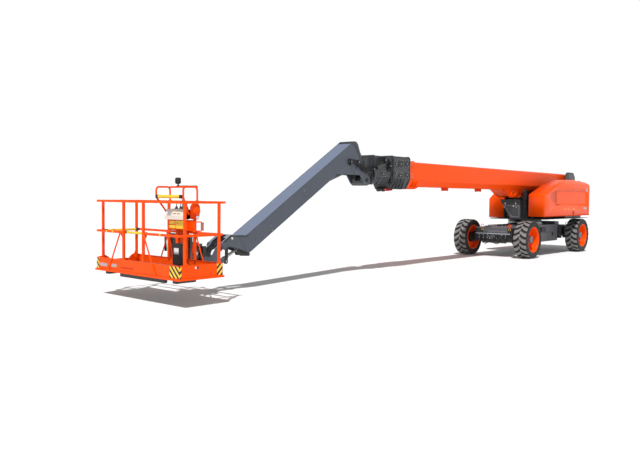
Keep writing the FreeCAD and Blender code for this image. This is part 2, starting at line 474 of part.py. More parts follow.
# short ends: corner posts stand just in from the corners
for nm, s in (("left", 1), ("right", -1)):
    def ys(a, b):
        return (a, b) if s > 0 else (-q(b), -q(a))
    a0, a1 = ys(ph - tb, ph)
    segs = [(px0 + tb + 1, px1 - tb - 1, a0, a1, rz - tb, rz)]
    for x in (14530, 15240):
        segs.append((q(x) - tb / 2, q(x) + tb / 2, a0, a1, (tz if s > 0 else q(640)) - 5, rz - tb + 5))
    if s > 0:
        segs.append((px0 + tb + 1, px1 - tb - 1, a0, a1, mz - tb / 2, mz + tb / 2))
    else:
        segs.append((px0 + tb + 1, q(14515), a0, a1, mz - tb / 2, mz + tb / 2))
        segs.append((q(15255), px1 - tb - 1, a0, a1, mz - tb / 2, mz + tb / 2))
    b0, b1 = ys(ph - 6, ph)
    node("rail_" + nm + "_end", tubes(segs, box(px0 + 7, px1 - 7, b0, b1, pb, tz if s > 0 else q(640))))
gb = 44
node("gate_bar_front", box(px1 - tb - gb - 8, px1 - tb - 8, -420, 250, mz - gb / 2, mz + gb / 2))
node("gate_bar_right", box(14508, 15262, -ph + tb + 8, -ph + tb + 8 + gb, mz - gb / 2, mz + gb / 2))

# console, its support and the sensor bar that guards it
con = prism("xz", -90, 478, [(14425, 1440), (14700, 1400), (14700, 1440), (14640, 1590), (14440, 1590)])
node("control_console", con)
node("console_box", box(14430, 14640, -60, 460, 1215, 1398))
node("console_support", tubes([(xr1 + 2, xr1 + 62, 60, 120, tz, 1213), (xr1 + 2, xr1 + 62, 280, 340, tz, 1213)]) )
gtop = 2000
def hoop(y):
    return [(14450, 14485, y - 17, y + 17, rz + 2, gtop), (14450, 14785, y - 17, y + 17, gtop - 34, gtop), (14750, 14785, y - 17, y + 17, 1785, gtop)]
stays = [bar(14768, -235, 1800, 14600, -106, 1480, 14), bar(14768, 546, 1800, 14600, 494, 1480, 14)]
node("console_guard", tubes(hoop(-235) + hoop(546) + [(14450, 14484, -235, 546, gtop - 34, gtop)], *stays))
node("sensor_bar", box(14750, 14790, -216, 527, 1790, 1830))
node("document_box", box(14760, 14850, 350, 570, 630, 1005))
# bracket that hangs the platform on the rotator
rb = [box(D.rot_x - 130, px0 - 30, -150, 150, 906, 950), box(D.rot_x - 130, px0 - 30, -150, 150, 600, 644)]
node("rotator_bracket", fuse(*rb, box(px0 - 66, px0 - lp - 0.5, -330, 330, 500, 1140), box(px0 - lp - 4, px0 - 0.5, -330, 330, 520, 1130)))

# ---------------------------------------------------------------- checks and export
doc.recompute()
for o in doc.Objects:
    bad = [s for s in o.State if s in ("Invalid", "Error")]
    if bad:
        raise RuntimeError("object %s is %s" % (o.Label, bad))
labels = [n.Label for n in NODES]
if len(set(labels)) != len(labels):
    raise RuntimeError("two sub-parts share a label")
for n in NODES:
    if n.Shape.isNull() or not n.Shape.isValid() or not n.Shape.Solids:
        raise RuntimeError("bad shape: " + n.Label)
os.makedirs("parts", exist_ok=True)
box_all = FreeCAD.BoundBox()
for n in NODES:
    box_all.add(n.Shape.BoundBox)
    n.Shape.exportStep("parts/%s.step" % n.Label)
    print("%-34s solids %d  volume %.4f m3" % (n.Label, len(n.Shape.Solids), n.Shape.Volume * 1e-9))
print("nodes", len(NODES), "box", box_all)
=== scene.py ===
import json
import math
import random

import bmesh
import bpy
from mathutils import Matrix, Quaternion, Vector

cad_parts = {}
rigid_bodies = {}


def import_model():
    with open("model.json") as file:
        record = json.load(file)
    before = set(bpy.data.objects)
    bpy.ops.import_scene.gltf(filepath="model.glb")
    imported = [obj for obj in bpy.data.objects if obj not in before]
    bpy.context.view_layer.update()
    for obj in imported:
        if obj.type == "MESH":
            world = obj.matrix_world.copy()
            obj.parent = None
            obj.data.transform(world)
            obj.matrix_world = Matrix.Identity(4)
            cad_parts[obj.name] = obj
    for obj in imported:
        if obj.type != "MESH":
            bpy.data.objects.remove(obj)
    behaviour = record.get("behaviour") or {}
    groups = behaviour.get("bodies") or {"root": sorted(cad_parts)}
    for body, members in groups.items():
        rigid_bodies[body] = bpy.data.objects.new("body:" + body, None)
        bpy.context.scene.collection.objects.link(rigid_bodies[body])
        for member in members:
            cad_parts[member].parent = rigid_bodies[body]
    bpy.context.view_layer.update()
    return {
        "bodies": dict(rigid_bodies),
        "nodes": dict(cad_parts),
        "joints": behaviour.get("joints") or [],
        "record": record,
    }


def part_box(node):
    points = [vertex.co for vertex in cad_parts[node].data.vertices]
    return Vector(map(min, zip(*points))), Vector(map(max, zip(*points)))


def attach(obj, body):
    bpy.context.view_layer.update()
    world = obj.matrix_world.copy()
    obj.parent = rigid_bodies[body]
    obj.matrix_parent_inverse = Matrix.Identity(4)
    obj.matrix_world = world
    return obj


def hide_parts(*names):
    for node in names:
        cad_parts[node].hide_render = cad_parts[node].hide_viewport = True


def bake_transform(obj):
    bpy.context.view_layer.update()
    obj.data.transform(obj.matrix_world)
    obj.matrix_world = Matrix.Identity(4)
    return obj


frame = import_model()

NODES = frame["nodes"]
rnd = random.Random(41)

# ------------------------------------------------------------------ places
_f, _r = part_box("tyre_front_left"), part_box("tyre_rear_left")
OX = (_f[0][0] + _f[1][0] + _r[0][0] + _r[1][0]) / 4  # the slewing axis


def P(x, y, z):
    """Millimetres about the slewing axis to metres in the row frame."""
    return Vector((x / 1000 + OX, y / 1000, z / 1000))


# ------------------------------------------------------------------ materials
MATS = {}


def _n(nt, kind, x, y, **kw):
    n = nt.nodes.new(kind)
    n.location = (x, y)
    for k, v in kw.items():
        setattr(n, k, v)
    return n


def srgb(r, g, b):
    out = []
    for c in (r, g, b):
        c /= 255
        out.append(c / 12.92 if c <= 0.04045 else ((c + 0.055) / 1.055) ** 2.4)
    return tuple(out) + (1.0,)


def mix_rgb(nt, x, y, blend="MIX"):
    n = _n(nt, "ShaderNodeMix", x, y, data_type="RGBA", blend_type=blend)
    n.clamp_factor = True
    return n


def maker(name, color, rough=0.4, coat=0.0, metal=0.0, var=0.10, dirt=0.25, dirt_col=(150, 140, 125), dirt_z=(0.1, 1.9),
          wear=0.5, wear_col=(120, 110, 105), wear_r=0.006, bump=0.05, bump_scale=420, grain=None, rvar=0.12, streak=0.0, spec=0.5, top=None):
    """Painted, cast, moulded or rubber surface: colour drift, dust that thins with height, rubbed edges, fine bump, uneven gloss."""
    if name in MATS:
        return MATS[name]
    m = bpy.data.materials.new(name)
    m.use_nodes = True
    nt = m.node_tree
    nt.nodes.clear()
    out = _n(nt, "ShaderNodeOutputMaterial", 1200, 0)
    b = _n(nt, "ShaderNodeBsdfPrincipled", 900, 0)
    nt.links.new(b.outputs[0], out.inputs[0])
    tc = _n(nt, "ShaderNodeTexCoord", -1400, 0)
    n1 = _n(nt, "ShaderNodeTexNoise", -1150, 200)
    n1.inputs["Scale"].default_value = 1.7
    n1.inputs["Detail"].default_value = 5
    n2 = _n(nt, "ShaderNodeTexNoise", -1150, -50)
    n2.inputs["Scale"].default_value = 23
    n2.inputs["Detail"].default_value = 6
    n2.inputs["Roughness"].default_value = 0.7
    n3 = _n(nt, "ShaderNodeTexNoise", -1150, -300)
    n3.inputs["Scale"].default_value = bump_scale
    n3.inputs["Detail"].default_value = 2
    for n in (n1, n2, n3):
        nt.links.new(tc.outputs["Object"], n.inputs["Vector"])
    # colour drift
    hi = tuple(min(1, c * (1 + var)) for c in color[:3]) + (1,)
    lo = tuple(c * (1 - var) for c in color[:3]) + (1,)
    mx = mix_rgb(nt, -800, 250)
    mx.inputs[6].default_value = lo
    mx.inputs[7].default_value = hi
    nt.links.new(n1.outputs["Fac"], mx.inputs[0])
    col = mx.outputs[2]
    if streak:
        mp = _n(nt, "ShaderNodeMapping", -1150, 480)
        mp.inputs["Scale"].default_value = (34, 34, 1.3)
        ns = _n(nt, "ShaderNodeTexNoise", -950, 480)
        ns.inputs["Scale"].default_value = 1
        ns.inputs["Detail"].default_value = 3
        nt.links.new(tc.outputs["Object"], mp.inputs[0])
        nt.links.new(mp.outputs[0], ns.inputs["Vector"])
        rs = _n(nt, "ShaderNodeMapRange", -780, 480)
        rs.inputs[1].default_value, rs.inputs[2].default_value = 0.55, 0.78
        rs.inputs[3].default_value, rs.inputs[4].default_value = 0, streak
        nt.links.new(ns.outputs["Fac"], rs.inputs[0])
        m0 = mix_rgb(nt, -600, 400)
        nt.links.new(rs.outputs[0], m0.inputs[0])
        nt.links.new(col, m0.inputs[6])
        m0.inputs[7].default_value = tuple(c * 0.62 for c in color[:3]) + (1,)
        col = m0.outputs[2]
    if top:
        # faces that look up are paler: a painted highlight on up-facing faces
        sn = _n(nt, "ShaderNodeSeparateXYZ", -1150, 700)
        nt.links.new(tc.outputs["Normal"], sn.inputs[0])
        rt = _n(nt, "ShaderNodeMapRange", -900, 700)
        rt.inputs[1].default_value, rt.inputs[2].default_value = 0.35, 0.75
        rt.inputs[3].default_value, rt.inputs[4].default_value = 0.0, 0.95
        nt.links.new(sn.outputs[2], rt.inputs[0])
        mt = mix_rgb(nt, -560, 560)
        nt.links.new(rt.outputs[0], mt.inputs[0])
        nt.links.new(col, mt.inputs[6])
        mt.inputs[7].default_value = srgb(*top)
        col = mt.outputs[2]
    # dust
    sx = _n(nt, "ShaderNodeSeparateXYZ", -1150, -560)
    nt.links.new(tc.outputs["Object"], sx.inputs[0])
    mz = _n(nt, "ShaderNodeMapRange", -900, -560)
    mz.inputs[1].default_value, mz.inputs[2].default_value = dirt_z
    mz.inputs[3].default_value, mz.inputs[4].default_value = 1.0, 0.12
    nt.links.new(sx.outputs[2], mz.inputs[0])
    mr = _n(nt, "ShaderNodeMapRange", -900, -300)
    mr.inputs[1].default_value, mr.inputs[2].default_value = 0.38, 0.72
    mr.inputs[3].default_value, mr.inputs[4].default_value = 0.0, dirt
    nt.links.new(n2.outputs["Fac"], mr.inputs[0])
    md = _n(nt, "ShaderNodeMath", -700, -420, operation="MULTIPLY")
    nt.links.new(mz.outputs[0], md.inputs[0])
    nt.links.new(mr.outputs[0], md.inputs[1])
    m1 = mix_rgb(nt, -400, 200)
    nt.links.new(md.outputs[0], m1.inputs[0])
    nt.links.new(col, m1.inputs[6])
    m1.inputs[7].default_value = srgb(*dirt_col)
    col = m1.outputs[2]
    # rubbed edges
    bv = _n(nt, "ShaderNodeBevel", -700, -700, samples=4)
    bv.inputs[0].default_value = wear_r
    if wear:
        ge = _n(nt, "ShaderNodeNewGeometry", -700, -900)
        dp = _n(nt, "ShaderNodeVectorMath", -500, -750, operation="DOT_PRODUCT")
        nt.links.new(bv.outputs[0], dp.inputs[0])
        nt.links.new(ge.outputs["Normal"], dp.inputs[1])
        me = _n(nt, "ShaderNodeMapRange", -320, -750)
        me.inputs[1].default_value, me.inputs[2].default_value = 0.985, 0.80
        me.inputs[3].default_value, me.inputs[4].default_value = 0.0, 1.0
        nt.links.new(dp.outputs["Value"], me.inputs[0])
        mw = _n(nt, "ShaderNodeMapRange", -320, -500)
        mw.inputs[1].default_value, mw.inputs[2].default_value = 0.50, 0.66
        mw.inputs[3].default_value, mw.inputs[4].default_value = 0.0, wear
        nt.links.new(n2.outputs["Fac"], mw.inputs[0])
        mm = _n(nt, "ShaderNodeMath", -120, -600, operation="MULTIPLY")
        nt.links.new(me.outputs[0], mm.inputs[0])
        nt.links.new(mw.outputs[0], mm.inputs[1])
        m2 = mix_rgb(nt, 100, 200)
        nt.links.new(mm.outputs[0], m2.inputs[0])
        nt.links.new(col, m2.inputs[6])
        m2.inputs[7].default_value = srgb(*wear_col)
        col = m2.outputs[2]
    nt.links.new(col, b.inputs["Base Color"])
    # gloss
    rr = _n(nt, "ShaderNodeMapRange", 300, -150)
    rr.inputs[1].default_value, rr.inputs[2].default_value = 0.3, 0.75
    rr.inputs[3].default_value, rr.inputs[4].default_value = max(0.03, rough - rvar), min(1.0, rough + rvar)
    nt.links.new(n2.outputs["Fac"], rr.inputs[0])
    nt.links.new(rr.outputs[0], b.inputs["Roughness"])
    # relief
    bp = _n(nt, "ShaderNodeBump", 600, -400)
    bp.inputs["Strength"].default_value = bump
    bp.inputs["Distance"].default_value = 0.004
    nt.links.new(n3.outputs["Fac"], bp.inputs["Height"])
    nt.links.new(bv.outputs[0], bp.inputs["Normal"])
    last = bp
    if grain:
        vo = _n(nt, "ShaderNodeTexVoronoi", 300, -620)
        vo.inputs["Scale"].default_value = grain
        nt.links.new(tc.outputs["Object"], vo.inputs["Vector"])
        b2 = _n(nt, "ShaderNodeBump", 750, -500)
        b2.inputs["Strength"].default_value = 0.25
        b2.inputs["Distance"].default_value = 0.003
        nt.links.new(vo.outputs["Distance"], b2.inputs["Height"])
        nt.links.new(bp.outputs[0], b2.inputs["Normal"])
        last = b2
    nt.links.new(last.outputs[0], b.inputs["Normal"])
    b.inputs["Metallic"].default_value = metal
    b.inputs["Specular IOR Level"].default_value = spec
    if coat:
        b.inputs["Coat Weight"].default_value = coat
        b.inputs["Coat Roughness"].default_value = 0.08
    MATS[name] = m
    return m


ORANGE = maker("orange_enamel", srgb(252, 80, 4), rough=0.40, coat=0.02, spec=0.10, var=0.05, dirt=0.12, dirt_col=(186, 84, 34), wear=0.45, wear_col=(150, 70, 40), streak=0.10)
SHELL = maker("orange_hood_shell", srgb(252, 82, 4), rough=0.34, coat=0.05, spec=0.12, var=0.04, dirt=0.08, dirt_col=(205, 90, 40), wear=0.25, wear_col=(200, 90, 50), wear_r=0.004, streak=0.08, bump=0.03)
# darker orange: painted shade where it sits under the boom, under the console box and along lower edges; also the deep
# red of the console's side cover and of the toe-board stripe
DEEP_ORANGE_AND_PAINTED_SHADE = maker("deep_orange_and_painted_shade", srgb(206, 58, 6), rough=0.5, spec=0.1, var=0.07, dirt=0.15, dirt_col=(150, 90, 62), wear=0.35, wear_col=(120, 60, 40))
REDPART = maker("red_primer", srgb(170, 20, 12), rough=0.5, spec=0.15, var=0.1, dirt=0.3, dirt_col=(110, 80, 70), wear=0.4)
GREY = maker("chassis_grey", srgb(92, 94, 102), rough=0.44, coat=0.1, var=0.10, dirt=0.40, dirt_col=(138, 130, 118), wear=0.6, wear_col=(150, 148, 145), streak=0.15)
# pale grey: painted highlight on the lit edge of the axle plate and on the top strips of the jib's foot
PALE_PAINTED_HIGHLIGHT = maker("pale_grey_painted_highlight", srgb(148, 154, 168), rough=0.42, var=0.10, dirt=0.35, dirt_col=(120, 112, 100), wear=0.6, wear_col=(190, 190, 188))
DARK = maker("dark_grey_paint", srgb(46, 49, 54), rough=0.42, coat=0.1, var=0.12, dirt=0.30, dirt_col=(120, 116, 108), wear=0.6, wear_col=(132, 132, 132))
COLLAR = maker("collar_grey", srgb(52, 55, 60), rough=0.46, var=0.12, dirt=0.26, dirt_col=(124, 122, 116), dirt_z=(0.2, 4.5), wear=0.75, wear_col=(160, 160, 160), streak=0.12)
# jib: its top colour paints a highlight on its up-facing faces
JIB = maker("jib_blue_grey", srgb(62, 69, 82), top=(116, 127, 150), rough=0.38, coat=0.1, var=0.07, dirt=0.18, dirt_col=(150, 150, 150), wear=0.5, wear_col=(165, 168, 172), streak=0.10)
BLACK = maker("black_steel", srgb(20, 21, 23), rough=0.46, var=0.15, dirt=0.28, dirt_col=(96, 92, 86), wear=0.6, wear_col=(110, 110, 110))
RUBBER = maker("tyre_rubber_black", srgb(34, 35, 37), rough=0.74, var=0.18, dirt=0.55, dirt_col=(98, 95, 90), dirt_z=(0.0, 1.5), wear=0.35, wear_col=(105, 103, 100), bump=0.25, bump_scale=160, spec=0.3)
LUGTOP = maker("tyre_lug_dusty", srgb(112, 113, 114), rough=0.8, var=0.22, dirt=0.7, dirt_col=(176, 172, 164), dirt_z=(-1.0, 3.0), wear=0.5, wear_col=(60, 60, 60), bump=0.35, bump_scale=110, spec=0.25)
HOSE = maker("hose_rubber", srgb(24, 24, 26), rough=0.5, var=0.1, dirt=0.2, dirt_col=(90, 88, 84), wear=0.0, bump=0.2, bump_scale=500, spec=0.4)
CHROME = maker("rod_chrome_plate", srgb(214, 216, 220), rough=0.16, metal=1.0, var=0.04, dirt=0.12, dirt_col=(120, 118, 112), wear=0.0, bump=0.02, rvar=0.05)
ZINC = maker("zinc_steel", srgb(172, 174, 176), rough=0.34, metal=0.85, var=0.10, dirt=0.25, dirt_col=(110, 105, 98), wear=0.0, bump=0.10)
BRIGHT = maker("bright_steel", srgb(196, 196, 192), rough=0.42, metal=0.25, var=0.08, dirt=0.25, dirt_col=(120, 116, 108), wear=0.0, bump=0.06)
IRON = maker("cast_iron_black", srgb(44, 45, 48), rough=0.62, var=0.15, dirt=0.32, dirt_col=(110, 104, 96), wear=0.5, wear_col=(96, 94, 92), bump=0.35, bump_scale=140, grain=90)
ALLOY = maker("engine_alloy", srgb(118, 120, 124), rough=0.5, metal=0.6, var=0.12, dirt=0.45, dirt_col=(70, 64, 56), wear=0.2, bump=0.3, bump_scale=120)
BEIGE = maker("console_beige", srgb(226, 217, 206), rough=0.42, var=0.04, dirt=0.18, dirt_col=(160, 150, 138), wear=0.3, wear_col=(170, 160, 150), bump=0.10, bump_scale=600)
YELLOW = maker("signal_yellow", srgb(255, 204, 40), rough=0.42, var=0.06, dirt=0.22, dirt_col=(180, 150, 90), wear=0.45, wear_col=(120, 100, 60))
PLASTIC = maker("black_moulding", srgb(22, 23, 25), rough=0.5, var=0.12, dirt=0.18, dirt_col=(90, 90, 90), wear=0.25, wear_col=(80, 80, 80), bump=0.18, bump_scale=700)
LABEL = maker("blank_label", srgb(238, 240, 242), rough=0.35, var=0.02, dirt=0.15, dirt_col=(180, 176, 170), wear=0.0, bump=0.02)
LABEL_BLUE = maker("blank_label_blue", srgb(188, 214, 228), rough=0.35, var=0.03, dirt=0.12, dirt_col=(170, 176, 180), wear=0.0, bump=0.02)
PLATE = maker("blank_grey_plate", srgb(172, 170, 172), rough=0.38, metal=0.3, var=0.04, dirt=0.2, dirt_col=(150, 140, 130), wear=0.2, bump=0.02)
AMBER = maker("amber_cap", srgb(140, 84, 34), rough=0.4, var=0.1, dirt=0.2, wear=0.2)
GRATE = maker("deck_plate", srgb(150, 148, 146), rough=0.42, metal=0.7, var=0.08, dirt=0.35, dirt_col=(96, 90, 82), wear=0.4, wear_col=(190, 190, 190), grain=60)
LENS = maker("lamp_glass", srgb(200, 206, 210), rough=0.12, coat=0.6, var=0.02, dirt=0.1, wear=0.0, bump=0.02)


def stripes(name):
    """Yellow and black diagonal bands, with the paint's dust and wear."""
    m = YELLOW.copy()
    m.name = name
    nt = m.node_tree
    b = next(n for n in nt.nodes if n.type == "BSDF_PRINCIPLED")
    src = b.inputs["Base Color"].links[0].from_socket
    tc = _n(nt, "ShaderNodeTexCoord", -1400, 900)
    sx = _n(nt, "ShaderNodeSeparateXYZ", -1200, 900)
    nt.links.new(tc.outputs["Object"], sx.inputs[0])
    a = _n(nt, "ShaderNodeMath", -1000, 900, operation="ADD")
    nt.links.new(sx.outputs[0], a.inputs[0])
    nt.links.new(sx.outputs[1], a.inputs[1])
    s = _n(nt, "ShaderNodeMath", -850, 900, operation="ADD")
    nt.links.new(a.outputs[0], s.inputs[0])
    nt.links.new(sx.outputs[2], s.inputs[1])
    d = _n(nt, "ShaderNodeMath", -700, 900, operation="MULTIPLY")
    nt.links.new(s.outputs[0], d.inputs[0])
    d.inputs[1].default_value = 1 / 0.105
    fr = _n(nt, "ShaderNodeMath", -550, 900, operation="FRACT")
    nt.links.new(d.outputs[0], fr.inputs[0])
    gt = _n(nt, "ShaderNodeMath", -400, 900, operation="GREATER_THAN")
    nt.links.new(fr.outputs[0], gt.inputs[0])
    gt.inputs[1].default_value = 0.5
    mx = mix_rgb(nt, 500, 400)
    nt.links.new(gt.outputs[0], mx.inputs[0])
    nt.links.new(src, mx.inputs[6])
    mx.inputs[7].default_value = srgb(26, 26, 28)
    nt.links.new(mx.outputs[2], b.inputs["Base Color"])
    MATS[name] = m
    return m


HAZARD = stripes("hazard_bands")

# ------------------------------------------------------------------ mesh making
class Mesh:
    """Collects faces of many small shapes with their materials, then becomes one piece."""

    def __init__(self, name, body, replaces=()):
        self.name, self.body, self.rep = name, body, replaces
        self.v, self.f, self.m, self.mats = [], [], [], []

    def mi(self, mat):
        if mat not in self.mats:
            self.mats.append(mat)
        return self.mats.index(mat)

    def add(self, verts, faces, mat):
        o = len(self.v)
        self.v += [tuple(p) for p in verts]
        self.f += [[i + o for i in f] for f in faces]
        self.m += [self.mi(mat)] * len(faces)

    def box(self, x0, x1, y0, y1, z0, z1, mat, rot=None, about=None):
        """Corners in mm about the slewing axis."""
        vs = [P(x, y, z) for z in (z0, z1) for y in (y0, y1) for x in (x0, x1)]
        if rot:
            c = P(*about) if about else P((x0 + x1) / 2, (y0 + y1) / 2, (z0 + z1) / 2)
            vs = [rot @ (p - c) + c for p in vs]
        self.add(vs, [(0, 2, 3, 1), (4, 5, 7, 6), (0, 1, 5, 4), (2, 6, 7, 3), (0, 4, 6, 2), (1, 3, 7, 5)], mat)

    def prism(self, plane, a0, a1, pts, mat, hole=None):
        """Outline pts in mm on plane xz, yz or xy, between a0 and a1 along the third axis."""
        def put(u, w, a):
            return P(u, a, w) if plane == "xz" else (P(a, u, w) if plane == "yz" else P(u, w, a))
        area = sum(pts[i][0] * pts[(i + 1) % len(pts)][1] - pts[(i + 1) % len(pts)][0] * pts[i][1] for i in range(len(pts)))
        if (area > 0) == (plane == "xz"):
            pts = pts[::-1]
        n = len(pts)
        vs = [put(u, w, a0) for u, w in pts] + [put(u, w, a1) for u, w in pts]
        if a0 > a1:
            vs = vs[n:] + vs[:n]
        fs = [tuple(range(n))[::-1], tuple(range(n, 2 * n))]
        fs += [(i, (i + 1) % n, n + (i + 1) % n, n + i) for i in range(n)]
        self.add(vs, fs, mat)

    def tube(self, p0, p1, r, mat, n=20, r1=None, cap=True):
        """Round bar between two points in metres."""
        p0, p1 = Vector(p0), Vector(p1)
        d = (p1 - p0).normalized()
        a = d.orthogonal().normalized()
        b = d.cross(a)
        r1 = r if r1 is None else r1
        vs = []
        for p, q in ((p0, r), (p1, r1)):
            vs += [p + (a * math.cos(t) + b * math.sin(t)) * q for t in (2 * math.pi * i / n for i in range(n))]
        fs = [(i, (i + 1) % n, n + (i + 1) % n, n + i) for i in range(n)]
        if cap:
            fs += [tuple(range(n))[::-1], tuple(range(n, 2 * n))]
        self.add(vs, fs, mat)

    def bolt(self, p, d, af, mat, h=None, washer=True):
        """Hexagon head with a washer at p, standing out along d. Metres."""
        p, d = Vector(p), Vector(d).normalized()
        h = h or af * 0.62
        q = p
        if washer:
            self.tube(p, p + d * af * 0.14, af * 0.92, mat, 16)
            q = p + d * af * 0.14
        self.tube(q, q + d * h * 0.8, af * 0.577, mat, 6, cap=False)
        self.tube(q + d * h * 0.8, q + d * h, af * 0.577, mat, 6, r1=af * 0.46)

    def lathe(self, c, axis, prof, mat, n=48, mats=None):
        """Profile of (radius, along) in metres turned about axis at c."""
        c, d = Vector(c), Vector(axis).normalized()
        a = d.orthogonal().normalized()
        b = d.cross(a)
        k = len(prof)
        vs = []
        for i in range(n):
            t = 2 * math.pi * i / n
            e = a * math.cos(t) + b * math.sin(t)
            vs += [c + e * r + d * s for r, s in prof]
        for j in range(k - 1):
            if prof[j][0] < 1e-6 and prof[j + 1][0] < 1e-6:
                continue
            fs = []
            for i in range(n):
                i2 = (i + 1) % n
                q = [i * k + j, i2 * k + j, i2 * k + j + 1, i * k + j + 1]
                if prof[j][0] < 1e-6:
                    q = [i * k + j, i2 * k + j + 1, i * k + j + 1]
                elif prof[j + 1][0] < 1e-6:
                    q = [i * k + j, i2 * k + j, i * k + j + 1]
                fs.append(q)
            o = len(self.v)
            self.f += [[x + o for x in f] for f in fs]
            self.m += [self.mi(mats[j] if mats else mat)] * len(fs)
        self.v += [tuple(p) for p in vs]

    def pipe(self, pts, r, mat, n=12, bend=None, seg=6, cap=True):
        """Tube through pts (metres) with rounded corners."""
        pts = [Vector(p) for p in pts]
        path = [pts[0]]
        for i in range(1, len(pts) - 1):
            a, b, c = pts[i - 1], pts[i], pts[i + 1]
            u, w = (a - b), (c - b)
            lu, lw = u.length, w.length
            ang = u.angle(w)
            turn = math.pi - ang
            if turn < 0.02:
                path.append(b)
                continue
            want = bend or 3.2 * r
            cutback = min(want * math.tan(turn / 2), 0.46 * lu, 0.46 * lw)
            rad = cutback / math.tan(turn / 2)
            u.normalize(); w.normalize()
            s = b + u * cutback
            axis = u.cross(w).normalized()
            cen = b + (u + w).normalized() * (rad / math.sin(ang / 2))
            k = max(2, int(seg * turn / 1.57) + 1)
            for j in range(k + 1):
                path.append(cen + Quaternion(axis, -turn * j / k) @ (s - cen))
        path.append(pts[-1])
        self.sweep(path, r, mat, n, cap)

    def sweep(self, path, r, mat, n=12, cap=True):
        path = [p for i, p in enumerate(path) if i == 0 or (p - path[i - 1]).length > 1e-5]
        d = (path[1] - path[0]).normalized()
        a = d.orthogonal().normalized()
        vs = []
        for i, p in enumerate(path):
            t = (path[min(i + 1, len(path) - 1)] - path[max(i - 1, 0)]).normalized()
            a = (a - t * a.dot(t)).normalized()
            b = t.cross(a)
            vs += [p + (a * math.cos(2 * math.pi * j / n) + b * math.sin(2 * math.pi * j / n)) * r for j in range(n)]
        fs = [(i * n + j, i * n + (j + 1) % n, (i + 1) * n + (j + 1) % n, (i + 1) * n + j) for i in range(len(path) - 1) for j in range(n)]
        if cap:
            fs += [tuple(range(n))[::-1], tuple(range(len(vs) - n, len(vs)))]
        self.add(vs, fs, mat)

    def curve(self, pts, r, mat, n=12, seg=8):
        """Hose on a smooth line through pts (metres)."""
        p = [Vector(q) for q in pts]
        p = [p[0] * 2 - p[1]] + p + [p[-1] * 2 - p[-2]]
        path = []
        for i in range(1, len(p) - 2):
            for j in range(seg):
                t = j / seg
                path.append(0.5 * (2 * p[i] + (p[i + 1] - p[i - 1]) * t + (2 * p[i - 1] - 5 * p[i] + 4 * p[i + 1] - p[i + 2]) * t * t
                                   + (3 * p[i] - p[i - 1] - 3 * p[i + 1] + p[i + 2]) * t ** 3))
        path.append(p[-2])
        self.sweep(path, r, mat, n)

    def arc_plate(self, plane, a0, a1, c, r0, r1, t0, t1, mat, k=14):
        """Sector between two radii, angles in degrees."""
        out = [(c[0] + r1 * math.cos(math.radians(t0 + (t1 - t0) * i / k)), c[1] + r1 * math.sin(math.radians(t0 + (t1 - t0) * i / k))) for i in range(k + 1)]
        inn = [(c[0] + r0 * math.cos(math.radians(t0 + (t1 - t0) * i / k)), c[1] + r0 * math.sin(math.radians(t0 + (t1 - t0) * i / k))) for i in range(k + 1)] if r0 > 0 else [c]
        self.prism(plane, a0, a1, out + inn[::-1], mat)

    def done(self, bevel=0.0, segs=2, smooth=35, slot=None):
        me = bpy.data.meshes.new(self.name)
        me.from_pydata(self.v, [], self.f)
        for m in self.mats:
            me.materials.append(m)
        me.polygons.foreach_set("material_index", self.m)
        bm = bmesh.new()
        bm.from_mesh(me)
        bmesh.ops.recalc_face_normals(bm, faces=bm.faces)
        bm.to_mesh(me)
        bm.free()
        me.polygons.foreach_set("use_smooth", [True] * len(me.polygons))
        me.set_sharp_from_angle(angle=math.radians(smooth))
        o = bpy.data.objects.new(self.name, me)
        bpy.context.scene.collection.objects.link(o)
        if bevel:
            b = o.modifiers.new("edge", "BEVEL")
            b.width = bevel
            b.segments = segs
            b.limit_method = "ANGLE"
            b.angle_limit = math.radians(38)
            b.harden_normals = False
        if self.body:
            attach(o, self.body)
        if self.rep:
            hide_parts(*self.rep)
        return o


def dress(node, mat, bevel=0.0, segs=2):
    """Finish for a node that stays as built: its material, and softened edges."""
    o = NODES[node]
    o.data.materials.clear()
    o.data.materials.append(mat)
    for s in o.material_slots:
        s.material = mat
    if bevel:
        w = o.modifiers.new("join", "WELD")
        w.merge_threshold = 0.00005
        b = o.modifiers.new("edge", "BEVEL")
        b.width = bevel
        b.segments = segs
        b.limit_method = "ANGLE"
        b.angle_limit = math.radians(40)
        b.use_clamp_overlap = True
    return o


